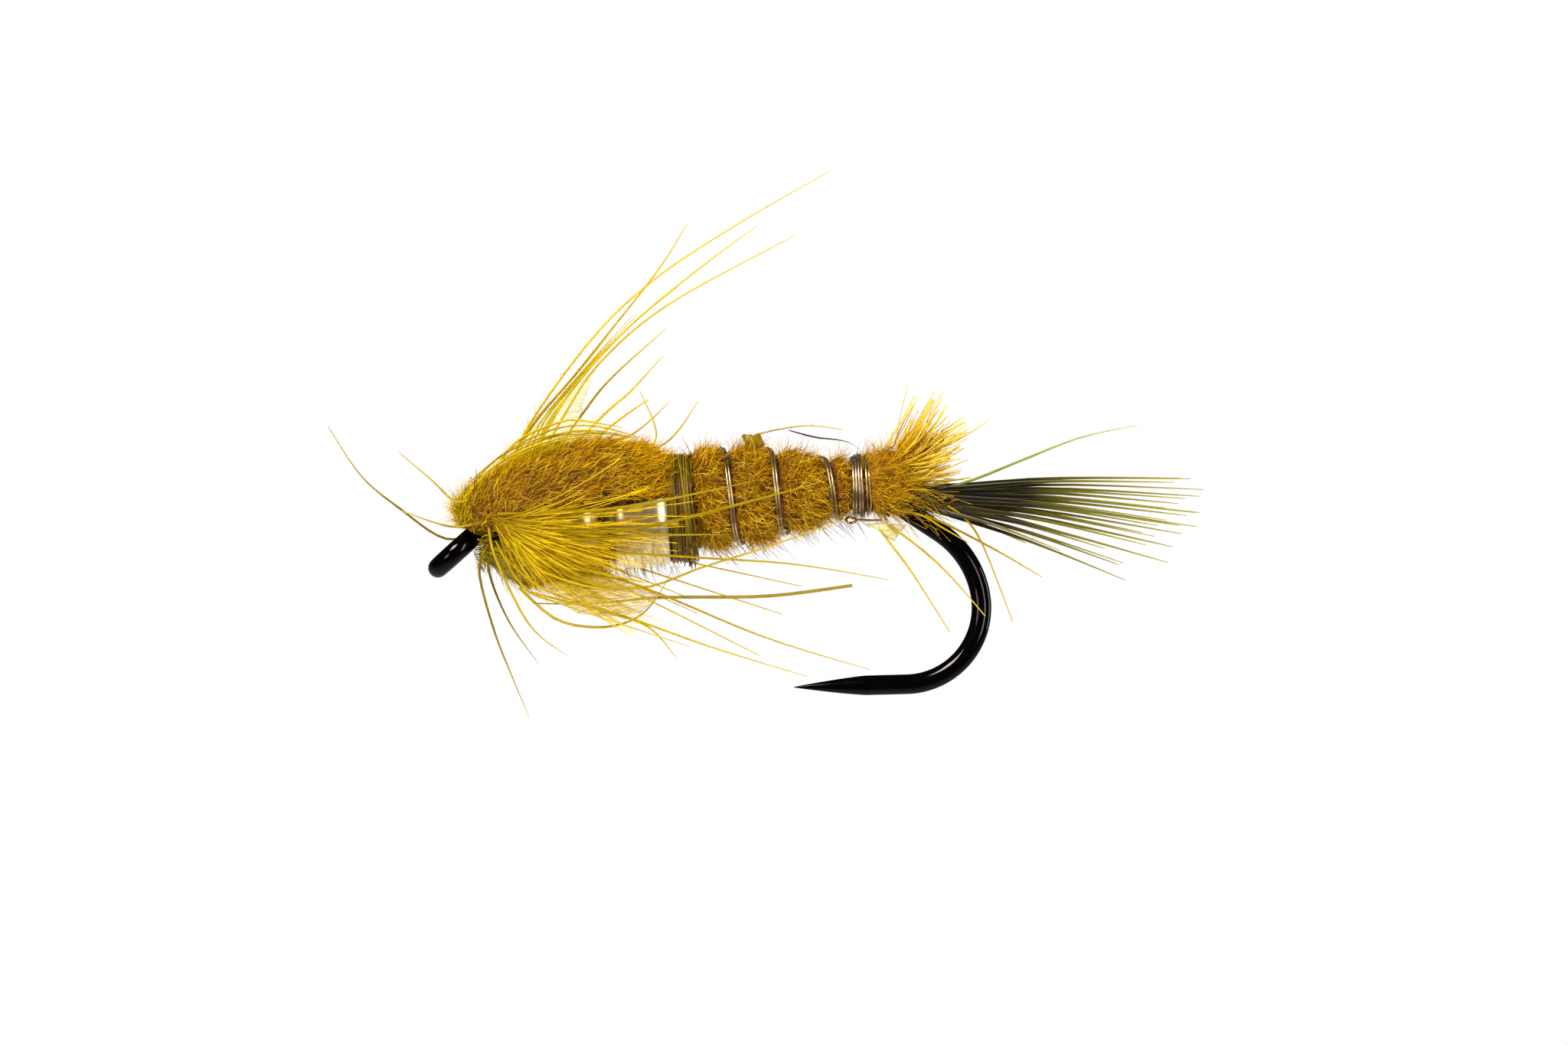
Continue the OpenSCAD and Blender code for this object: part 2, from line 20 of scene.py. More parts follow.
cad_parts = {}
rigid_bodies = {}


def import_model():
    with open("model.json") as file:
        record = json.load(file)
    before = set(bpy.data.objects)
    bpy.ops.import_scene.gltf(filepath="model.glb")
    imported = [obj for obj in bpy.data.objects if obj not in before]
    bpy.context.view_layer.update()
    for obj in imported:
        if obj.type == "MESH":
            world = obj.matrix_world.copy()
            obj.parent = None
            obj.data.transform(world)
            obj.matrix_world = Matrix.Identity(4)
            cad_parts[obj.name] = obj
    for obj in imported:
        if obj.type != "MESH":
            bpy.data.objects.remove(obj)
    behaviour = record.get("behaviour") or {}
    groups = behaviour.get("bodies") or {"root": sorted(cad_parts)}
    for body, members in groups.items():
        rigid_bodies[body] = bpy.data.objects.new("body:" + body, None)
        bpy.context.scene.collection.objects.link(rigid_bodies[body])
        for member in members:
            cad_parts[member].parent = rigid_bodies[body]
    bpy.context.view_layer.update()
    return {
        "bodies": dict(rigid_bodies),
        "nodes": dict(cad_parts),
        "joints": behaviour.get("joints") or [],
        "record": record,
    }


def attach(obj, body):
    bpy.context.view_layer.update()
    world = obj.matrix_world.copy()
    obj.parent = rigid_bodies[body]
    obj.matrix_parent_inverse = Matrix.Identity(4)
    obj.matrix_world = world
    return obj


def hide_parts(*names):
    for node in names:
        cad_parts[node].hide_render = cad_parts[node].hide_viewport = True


MM = 0.001
BODY = "root"
Point = Sequence[float]

log = logging.getLogger("fly")


class Slot(Enum):
    """The record's material slots."""

    HOOK = "hook_steel"
    THREAD = "thread"
    BEAD = "bead_metal"
    DARK = "dark_dubbing"
    OLIVE = "olive_dubbing"
    WOOL = "wool"
    BROWN = "brown_dubbing"
    WIRE = "rib_wire"
    TAG = "tag_yarn"
    TAIL = "tail_barb"
    HACKLE = "hackle"
    QUILL = "quill"
    WEB = "web"


class Side(Enum):
    """A side of the fly, as the sign of Y."""

    NEAR = -1
    FAR = 1


# ---- Curves ----


def smooth(points: Sequence[Any], count: int) -> np.ndarray:
    """Returns points along a smooth curve that passes through the given ones.

    Args:
        points: The points or values that the curve passes through.
        count: How many points to return.

    Returns:
        An array with one row for each point.
    """
    p = np.asarray(points, float)
    last = len(p) - 1
    s = np.linspace(0, last, count)
    i = np.minimum(s.astype(int), last - 1)
    t = (s - i).reshape((-1,) + (1,) * (p.ndim - 1))
    a, b, c, d = p[np.maximum(i - 1, 0)], p[i], p[i + 1], p[np.minimum(i + 2, last)]
    return (2 * b + (c - a) * t + (2 * a - 5 * b + 4 * c - d) * t**2 + (3 * b - a - 3 * c + d) * t**3) / 2


def smooth_at(values: Sequence[float], u: float) -> float:
    """Reads a smooth curve through evenly spaced values.

    Args:
        values: The values that the curve passes through.
        u: The place to read, from 0 to 1.

    Returns:
        The value there.
    """
    last = len(values) - 1
    s = min(max(u, 0.0), 1.0) * last
    i = min(int(s), last - 1)
    a, b, c, d = values[max(i - 1, 0)], values[i], values[i + 1], values[min(i + 2, last)]
    t = s - i
    return (2 * b + (c - a) * t + (2 * a - 5 * b + 4 * c - d) * t**2 + (3 * b - a - 3 * c + d) * t**3) / 2


def linear(hex_colour: str) -> tuple[float, float, float, float]:
    """Turns an sRGB hex colour into a linear one.

    Args:
        hex_colour: The colour, such as #a0b1c2.

    Returns:
        Red, green and blue as linear values, with alpha 1.
    """
    parts = [int(hex_colour[i : i + 2], 16) / 255 for i in (1, 3, 5)]
    r, g, b = (c / 12.92 if c <= 0.04045 else ((c + 0.055) / 1.055) ** 2.4 for c in parts)
    return (r, g, b, 1.0)


# ---- Node trees ----


def add(tree: bpy.types.NodeTree, kind: str, inputs: dict[Any, Any] | None = None, **settings: Any) -> Any:
    """Adds a node, sets it up and links it.

    Args:
        tree: The node tree.
        kind: The node's type name.
        inputs: For each input's name or number, a socket to link or a value to set.
        **settings: The node's own properties.

    Returns:
        The new node.
    """
    made = tree.nodes.new(kind)
    for key, value in settings.items():
        setattr(made, key, value)
    for key, value in (inputs or {}).items():
        if isinstance(value, bpy.types.NodeSocket):
            tree.links.new(value, made.inputs[key])
        else:
            made.inputs[key].default_value = value
    return made


def ramp(tree: bpy.types.NodeTree, factor: Any, stops: Sequence[tuple[float, str]]) -> Any:
    """Adds a colour ramp.

    Args:
        tree: The node tree.
        factor: The socket that drives it.
        stops: Each stop's place and its sRGB hex colour.

    Returns:
        The ramp's colour socket.
    """
    made = add(tree, "ShaderNodeValToRGB", {0: factor})
    elements = made.color_ramp.elements
    while len(elements) < len(stops):
        elements.new(0.5)
    for element, (place, colour) in zip(elements, stops):
        element.position = place
        element.color = linear(colour)
    return made.outputs[0]


def scattered(
    tree: bpy.types.NodeTree, size_mm: float, detail: float = 3.0, stretch: Point = (1, 1, 1)
) -> Any:
    """Adds noise in object space.

    Args:
        tree: The node tree.
        size_mm: About how wide its blotches are, in millimetres.
        detail: How many finer layers it has.
        stretch: How much it is squeezed along each axis.

    Returns:
        The noise's value socket.
    """
    place = add(tree, "ShaderNodeTexCoord").outputs["Object"]
    scaled = add(tree, "ShaderNodeMapping", {"Vector": place, "Scale": tuple(stretch)})
    pattern = {"Vector": scaled.outputs[0], "Scale": 1 / (size_mm * MM), "Detail": detail}
    return add(tree, "ShaderNodeTexNoise", pattern).outputs[0]


# ---- Finishes ----


def new_material(name: str) -> tuple[bpy.types.Material, bpy.types.NodeTree, Any]:
    """Makes a node material with only an output node.

    Args:
        name: The material's name.

    Returns:
        The material, its tree and its output node.
    """
    material = bpy.data.materials.new(name)
    material.use_nodes = True
    material.node_tree.nodes.clear()
    output = add(material.node_tree, "ShaderNodeOutputMaterial")
    return material, material.node_tree, output


@dataclass(frozen=True)
class FibreFinish:
    """Feather barb, wool or silk: fibre that shines along its length and glows against the light.

    The colour goes from dark to light by the strand's own tone, and towards its tip colour along it.
    """

    name: str
    dark: str
    middle: str
    light: str
    tip: str
    roughness: float = 0.45
    glow: float = 0.35
    shine: float = 0.12
    tip_from: float = 0.5
    edge: str = ""

    def material(self) -> bpy.types.Material:
        """Builds the node material.

        Returns:
            The material.
        """
        material, tree, output = new_material(self.name)
        tone = add(tree, "ShaderNodeAttribute", attribute_name="tone").outputs["Fac"]
        along = add(tree, "ShaderNodeAttribute", attribute_name="along").outputs["Fac"]
        patch = scattered(tree, 0.35)
        mixed = add(
            tree, "ShaderNodeMath", {0: patch, 1: 0.7, 2: -0.35}, operation="MULTIPLY_ADD"
        ).outputs[0]
        value = add(tree, "ShaderNodeMath", {0: tone, 1: mixed}, operation="ADD").outputs[0]
        colour = ramp(tree, value, [(0.0, self.dark), (0.5, self.middle), (1.0, self.light)])
        if self.edge:
            # The middle of a flat barb is dark and its two edges are lighter, partly by the barb's own
            # colour and partly as a painted highlight along them.
            rim = add(tree, "ShaderNodeAttribute", attribute_name="rim").outputs["Fac"]
            sharp = add(tree, "ShaderNodeMapRange", {0: rim, 1: 0.85, 2: 1.0}).outputs[0]
            blend = {"Factor": sharp, 6: colour, 7: linear(self.edge)}
            colour = add(tree, "ShaderNodeMix", blend, data_type="RGBA").outputs[2]
        tipped = add(tree, "ShaderNodeMapRange", {0: along, 1: self.tip_from, 2: 1.0}).outputs[0]
        blend = {"Factor": tipped, 6: colour, 7: linear(self.tip)}
        colour = add(tree, "ShaderNodeMix", blend, data_type="RGBA").outputs[2]
        solid = {
            "Base Color": colour, "Roughness": self.roughness, "Specular IOR Level": self.shine, "IOR": 1.54
        }
        surface = add(tree, "ShaderNodeBsdfPrincipled", solid).outputs[0]
        if self.glow > 0:
            through = add(tree, "ShaderNodeBsdfTranslucent", {"Color": colour}).outputs[0]
            surface = add(tree, "ShaderNodeMixShader", {0: self.glow, 1: surface, 2: through}).outputs[0]
        tree.links.new(surface, output.inputs["Surface"])
        return material


@dataclass(frozen=True)
class MassFinish:
    """A packed mass of fibre, as seen between the loose fibres on it: dull, blotched and streaked, and
    darker than those fibres as painted shade of the depth among them.
    """

    name: str
    dark: str
    middle: str
    light: str
    streak_mm: float = 0.05
    stretch: tuple[float, float, float] = (0.25, 1.0, 1.0)

    def material(self) -> bpy.types.Material:
        """Builds the node material.

        Returns:
            The material.
        """
        material, tree, output = new_material(self.name)
        streaks = scattered(tree, self.streak_mm, 4.0, self.stretch)
        patch = scattered(tree, 0.5)
        value = add(tree, "ShaderNodeMath", {0: streaks, 1: patch}, operation="MULTIPLY").outputs[0]
        colour = ramp(tree, value, [(0.12, self.dark), (0.28, self.middle), (0.5, self.light)])
        bump = {"Height": streaks, "Distance": 0.03 * MM, "Strength": 0.8}
        normal = add(tree, "ShaderNodeBump", bump).outputs[0]
        solid = {"Base Color": colour, "Roughness": 0.8, "Normal": normal, "Specular IOR Level": 0.1}
        surface = add(tree, "ShaderNodeBsdfPrincipled", solid).outputs[0]
        tree.links.new(surface, output.inputs["Surface"])
        return material


@dataclass(frozen=True)
class MetalFinish:
    """Plated or drawn metal, with faint blotches in its polish and fine scratches.

    Real polishing scratches are finer than scratch_mm. They are drawn this coarse so that they show.
    """

    name: str
    colour: str
    worn: str
    roughness: float
    spread: float
    scratch_mm: float = 0.02
    bump: float = 0.15
    coat: float = 0.0
    edge: str = "#ffffff"

    def material(self) -> bpy.types.Material:
        """Builds the node material.

        Returns:
            The material.
        """
        material, tree, output = new_material(self.name)
        blotch = scattered(tree, 0.4)
        scratch = scattered(tree, self.scratch_mm, 2.0, (0.2, 1.0, 1.0))
        colour = ramp(tree, blotch, [(0.35, self.colour), (0.75, self.worn)])
        low, high = self.roughness - self.spread, self.roughness + self.spread
        rough = add(tree, "ShaderNodeMapRange", {0: blotch, 1: 0.3, 2: 0.7, 3: low, 4: high}).outputs[0]
        bump = {"Height": scratch, "Distance": 0.002 * MM, "Strength": self.bump}
        normal = add(tree, "ShaderNodeBump", bump).outputs[0]
        solid = {"Base Color": colour, "Metallic": 1.0, "Roughness": rough, "Normal": normal,
                 "Coat Weight": self.coat, "Specular Tint": linear(self.edge)}
        surface = add(tree, "ShaderNodeBsdfPrincipled", solid).outputs[0]
        tree.links.new(surface, output.inputs["Surface"])
        return material


@dataclass(frozen=True)
class FilmFinish:
    """A thin film of matted barbules, half clear, with fine ribs."""

    name: str
    colour: str
    rib: str
    cover: float

    def material(self) -> bpy.types.Material:
        """Builds the node material.

        Returns:
            The material.
        """
        material, tree, output = new_material(self.name)
        ribs = scattered(tree, 0.05, 3.0, (0.15, 1.0, 1.0))
        colour = ramp(tree, ribs, [(0.35, self.rib), (0.6, self.colour)])
        thin = {0: ribs, 1: 0.35, 2: 0.65, 3: self.cover * 1.8, 4: self.cover * 0.4}
        cover = add(tree, "ShaderNodeMapRange", thin).outputs[0]
        solid = {"Base Color": colour, "Roughness": 0.5, "Alpha": cover, "Specular IOR Level": 0.1}
        surface = add(tree, "ShaderNodeBsdfPrincipled", solid).outputs[0]
        tree.links.new(surface, output.inputs["Surface"])
        return material


# Black nickel on hardened wire: a near-black mirror with narrow highlights.
BLACK_NICKEL = MetalFinish("black_nickel_wire", "#0a0605", "#120c0a", 0.15, 0.04, coat=0.18, edge="#30241e")
# Nickel-plated bead, tumbled and a little tarnished: warm satin metal with small dull patches.
NICKEL_BEAD = MetalFinish("nickel_plated_bead", "#e2d2a6", "#b8a26c", 0.3, 0.06)
# Fine drawn ribbing wire: warm, slightly dull, and darker where it has tarnished.
RIB_WIRE = MetalFinish("drawn_rib_wire", "#b8a07c", "#503c1e", 0.34, 0.06)
# The bent end of the wire shows its copper core.
COPPER_WIRE = MetalFinish("bare_copper_wire", "#b87850", "#7c4828", 0.2, 0.05)
# Waxed multi-strand tying thread: silky, with light along each turn.
THREAD = FibreFinish("waxed_tying_thread", "#140c00", "#483400", "#826a04", "#483400", 0.4, 0.05, 0.12)
THREAD_CORE = MassFinish("waxed_thread_core", "#140c00", "#2e2200", "#4c3a00")
# The rows of FibreFinish below give the name, the dark, middle, light and tip colours, the roughness,
# the glow, the shine, where the tip colour starts, and the edge colour.
# Felted wool: matt golden brown. The shade copy is darker, as painted shade on the fibres underneath, and
# the glint copy is lighter, as painted glints on single fibres.
WOOL = FibreFinish("felted_wool_fibre", "#643a00", "#b88200", "#f0c600", "#c89a00", 0.5, 0.35, 0.03)
WOOL_SHADE = FibreFinish("felted_wool_shade", "#341c00", "#7c4e00", "#ac7a00", "#8c6000", 0.5, 0.15, 0.03)
WOOL_PAINTED_GLINT = FibreFinish("felted_wool_glint", "#c89c00", "#f0cc10", "#fff060", "#f8e040", 0.35, 0.4, 0.3)
WOOL_OLIVE = FibreFinish("olive_wool_fuzz", "#725a00", "#b49a00", "#ecd41c", "#dcc010", 0.5, 0.45, 0.03)
# The wool's core is darker than its fibres, as painted shade of the depth under them.
WOOL_CORE = MassFinish("felted_wool_core", "#1c0c00", "#442400", "#704600")
# Dubbing: short fur spun on the thread. The shade copy is darker, as painted shade on the underfur, and the
# glint copy is lighter, as painted glints on the curls.
DUBBING = FibreFinish("spun_dubbing_fibre", "#643800", "#ae7800", "#e8ba00", "#c09200", 0.46, 0.3, 0.03)
DUBBING_SHADE = FibreFinish(
    "spun_dubbing_shade", "#2c1400", "#744400", "#a07000", "#865a00", 0.5, 0.2, 0.05
)
DUBBING_PAINTED_GLINT = FibreFinish(
    "spun_dubbing_glint", "#b88600", "#e2b608", "#fce050", "#f0d020", 0.3, 0.3, 0.4
)
# The dubbing's core is darker than its fur, as painted shade of the depth under it.
DUBBING_CORE = MassFinish("spun_dubbing_core", "#241000", "#502c00", "#7a5000")
OLIVE_CORE = MassFinish("olive_dubbing_core", "#382a00", "#6c5800", "#927c00")
DARK_DUBBING = FibreFinish("dark_dubbing_fibre", "#181002", "#403006", "#826a14", "#54430a", 0.5, 0.2)
DARK_CORE = MassFinish("dark_dubbing_core", "#120c02", "#281e06", "#44340c")
# Dyed cock hackle: clear keratin that glows yellow where light comes through it.
HACKLE = FibreFinish("dyed_hackle_barb", "#785c00", "#a68a00", "#ccb000", "#c0a800", 0.42, 0.4, 0.04)
HACKLE_SOFT = FibreFinish(
    "soft_hackle_barb", "#341600", "#805200", "#c69600", "#f4d418", 0.42, 0.45, 0.08, 0.0
)
OLIVE_GOLD = FibreFinish("olive_gold_barb", "#685200", "#866c00", "#a08608", "#8a740c", 0.5, 0.35, 0.03)
CUT_BARB = FibreFinish("cut_olive_barb", "#54440a", "#746014", "#948024", "#74621a", 0.45, 0.15, 0.08)
HACKLE_LONG = FibreFinish("long_hackle_barb", "#6c5000", "#967a00", "#ba9a00", "#ac9620", 0.42, 0.35, 0.05)
OLIVE_FRINGE = FibreFinish("olive_neck_fringe", "#2a1e00", "#6c5400", "#bc9e08", "#a48a08", 0.42, 0.25)
OLIVE_BARB = FibreFinish("olive_hackle_barb", "#54420a", "#846a08", "#ae9418", "#a4903c", 0.4, 0.35, 0.05)
# Golden yarn ends, loosely twisted.
TAG_YARN = FibreFinish("golden_yarn_end", "#845a00", "#ae8200", "#cca210", "#ccaa3c", 0.42, 0.2, 0.08, 0.25)
TAG_FUZZ = FibreFinish("golden_yarn_fuzz", "#5c3000", "#9c6a00", "#d09e04", "#dcb010", 0.45, 0.3, 0.08)
TAG_CORE = MassFinish("golden_yarn_core", "#402200", "#704400", "#986a00")
# Tail barbs: flat and near-black, with olive edges that are partly their own colour and partly a painted
# highlight.
TAIL = FibreFinish(
    "flat_tail_barb", "#070403", "#0e0906", "#20170a", "#7c741c", 0.3, 0.05, 0.15, 0.6, "#706c14"
)
PALE_GREEN = FibreFinish("pale_green_barb", "#566018", "#70762c", "#909444", "#a4a870", 0.4, 0.3, 0.08)
BACK_BARB = FibreFinish("dark_back_barb", "#24100a", "#34190e", "#4a2816", "#34190e", 0.4, 0.05, 0.1)
DARK_HAIR = FibreFinish("dark_guard_hair", "#201602", "#44350a", "#74601a", "#82722e", 0.45, 0.2)
# Quill: clear horn that has taken the dye.
QUILL = FibreFinish("cut_feather_quill", "#6a5400", "#8e7404", "#bca424", "#786004", 0.35, 0.2)
# Matted barbules: a thin film, ribbed and half clear.
FOLD_WEB = FilmFinish("hackle_web_film", "#a88e20", "#6c5600", 0.32)
WING_WEB = FilmFinish("wing_web_film", "#ccbc3c", "#a08804", 0.2)
BEND_WEB = FilmFinish("bend_web_film", "#b4a870", "#887c34", 0.5)


class Palette:
    """Builds each finish once and hands its material out."""

    def __init__(self) -> None:
        """Starts with no materials."""
        self.made: dict[str, bpy.types.Material] = {}

    def get(self, finish: Any) -> bpy.types.Material:
        """Returns the material of a finish, building it the first time.

        Args:
            finish: The finish.

        Returns:
            Its material.
        """
        if finish.name not in self.made:
            self.made[finish.name] = finish.material()
        return self.made[finish.name]


PALETTE = Palette()


# ---- Geometry Nodes ----


def start_tree(name: str, inputs: Iterable[tuple[str, str]]) -> tuple[bpy.types.NodeTree, Any, Any]:
    """Makes a Geometry Nodes tree with named inputs.

    Args:
        name: The tree's name.
        inputs: Each input's name and socket type, after the geometry.

    Returns:
        The tree, its input node and its output node.
    """
    tree = bpy.data.node_groups.new(name, "GeometryNodeTree")
    tree.interface.new_socket("Geometry", in_out="INPUT", socket_type="NodeSocketGeometry")
    for label, kind in inputs:
        tree.interface.new_socket(label, in_out="INPUT", socket_type="NodeSocket" + kind)
    tree.interface.new_socket("Geometry", in_out="OUTPUT", socket_type="NodeSocketGeometry")
    return tree, add(tree, "NodeGroupInput"), add(tree, "NodeGroupOutput")


def finish_tree(tree: bpy.types.NodeTree, geometry: Any, material: Any, output: Any) -> None:
    """Ends a tree in Realize Instances, smooth shading and Set Material.

    Args:
        tree: The node tree.
        geometry: The socket with the finished geometry.
        material: The socket with the material.
        output: The tree's output node.
    """
    real = add(tree, "GeometryNodeRealizeInstances", {"Geometry": geometry})
    even = add(tree, "GeometryNodeSetShadeSmooth", {"Geometry": real.outputs[0]})
    dressed = add(tree, "GeometryNodeSetMaterial", {"Geometry": even.outputs[0], "Material": material})
    tree.links.new(dressed.outputs[0], output.inputs[0])


def attribute(tree: bpy.types.NodeTree, name: str, kind: str = "FLOAT") -> Any:
    """Adds a Named Attribute node and returns its value."""
    return add(tree, "GeometryNodeInputNamedAttribute", {"Name": name}, data_type=kind).outputs[0]


def chance(tree: bpy.types.NodeTree, low: float, high: float, seed: Any) -> Any:
    """Adds a random number between two limits and returns it."""
    limits = {2: low, 3: high, "Seed": seed}
    return add(tree, "FunctionNodeRandomValue", limits, data_type="FLOAT").outputs[1]


def strand_tree() -> bpy.types.NodeTree:
    """Builds the tree that turns polylines into strands with side hairs.

    Each vertex carries its strand's radius, the length of the side hairs there (down), a random tone
    and its place along the strand.

    Returns:
        The tree.
    """
    named = [("Sides", "Int"), ("Flatness", "Float"), ("Hair Spacing", "Float"), ("Hair Radius", "Float"),
             ("Hair Angle", "Float"), ("Seed", "Int"), ("Material", "Material")]
    tree, given, output = start_tree("strands_with_side_hairs", named)
    lines = add(tree, "GeometryNodeMeshToCurve", {"Mesh": given.outputs["Geometry"]})
    upright = add(tree, "GeometryNodeSetCurveNormal", {"Curve": lines.outputs[0]}, mode="MINIMUM_TWIST")
    ring = add(
        tree, "GeometryNodeCurvePrimitiveCircle", {"Resolution": given.outputs["Sides"], "Radius": 1.0}
    )
    squeeze = add(tree, "ShaderNodeCombineXYZ", {0: given.outputs["Flatness"], 1: 1.0, 2: 1.0})
    flat = add(tree, "GeometryNodeTransform", {"Geometry": ring.outputs[0], "Scale": squeeze.outputs[0]})
    across = add(tree, "GeometryNodeInputPosition").outputs[0]
    height = add(tree, "ShaderNodeSeparateXYZ", {0: across}).outputs[1]
    rim = add(tree, "ShaderNodeMath", {0: height}, operation="ABSOLUTE").outputs[0]
    marked = {"Geometry": flat.outputs[0], "Name": "rim", "Value": rim}
    profile = add(tree, "GeometryNodeStoreNamedAttribute", marked, data_type="FLOAT", domain="POINT")
    body = add(tree, "GeometryNodeCurveToMesh", {
        "Curve": upright.outputs[0], "Profile Curve": profile.outputs[0],
        "Scale": attribute(tree, "radius"), "Fill Caps": True,
    })
    steps = add(tree, "GeometryNodeResampleCurve",
                {"Curve": lines.outputs[0], "Length": given.outputs["Hair Spacing"]}, mode="LENGTH")
    factor = add(tree, "GeometryNodeSplineParameter").outputs[0]
    taper = add(tree, "ShaderNodeMath", {0: factor, 1: -0.8, 2: 1.0}, operation="MULTIPLY_ADD").outputs[0]
    line = add(tree, "GeometryNodeCurvePrimitiveLine", {"End": (0.0, 0.0, 1.0)})
    triangle = add(tree, "GeometryNodeCurvePrimitiveCircle", {"Resolution": 3, "Radius": 1.0})
    hair = add(tree, "GeometryNodeCurveToMesh", {
        "Curve": line.outputs[0], "Profile Curve": triangle.outputs[0], "Scale": taper, "Fill Caps": True,
    })
    down = attribute(tree, "down")
    seed = given.outputs["Seed"]
    varied = add(
        tree, "ShaderNodeMath", {0: down, 1: chance(tree, 0.45, 1.1, seed)}, operation="MULTIPLY"
    ).outputs[0]
    grown = add(
        tree, "FunctionNodeCompare", {0: down, 1: 1e-6}, data_type="FLOAT", operation="GREATER_THAN"
    ).outputs[0]
    width = given.outputs["Hair Radius"]
    size = add(tree, "ShaderNodeCombineXYZ", {0: width, 1: width, 2: varied}).outputs[0]
    tangent = add(tree, "GeometryNodeInputTangent").outputs[0]
    turned = add(tree, "FunctionNodeAlignRotationToVector", {"Vector": tangent}, axis="Z").outputs[0]
    roll = chance(tree, 0.0, math.tau, seed)
    lean = add(
        tree, "ShaderNodeMath", {0: given.outputs["Hair Angle"], 1: chance(tree, 0.6, 1.3, 5)},
        operation="MULTIPLY",
    ).outputs[0]
    euler = add(tree, "ShaderNodeCombineXYZ", {0: lean, 1: 0.0, 2: roll}).outputs[0]
    spun = add(tree, "FunctionNodeEulerToRotation", {0: euler}).outputs[0]
    rotation = add(tree, "FunctionNodeRotateRotation",
                   {"Rotation": turned, "Rotate By": spun}, rotation_space="LOCAL").outputs[0]
    hairs = add(tree, "GeometryNodeInstanceOnPoints", {
        "Points": steps.outputs[0], "Selection": grown, "Instance": hair.outputs[0],
        "Rotation": rotation, "Scale": size,
    })
    both = add(tree, "GeometryNodeJoinGeometry", {0: body.outputs[0]})
    tree.links.new(hairs.outputs[0], both.inputs[0])
    finish_tree(tree, both.outputs[0], given.outputs["Material"], output)
    return tree


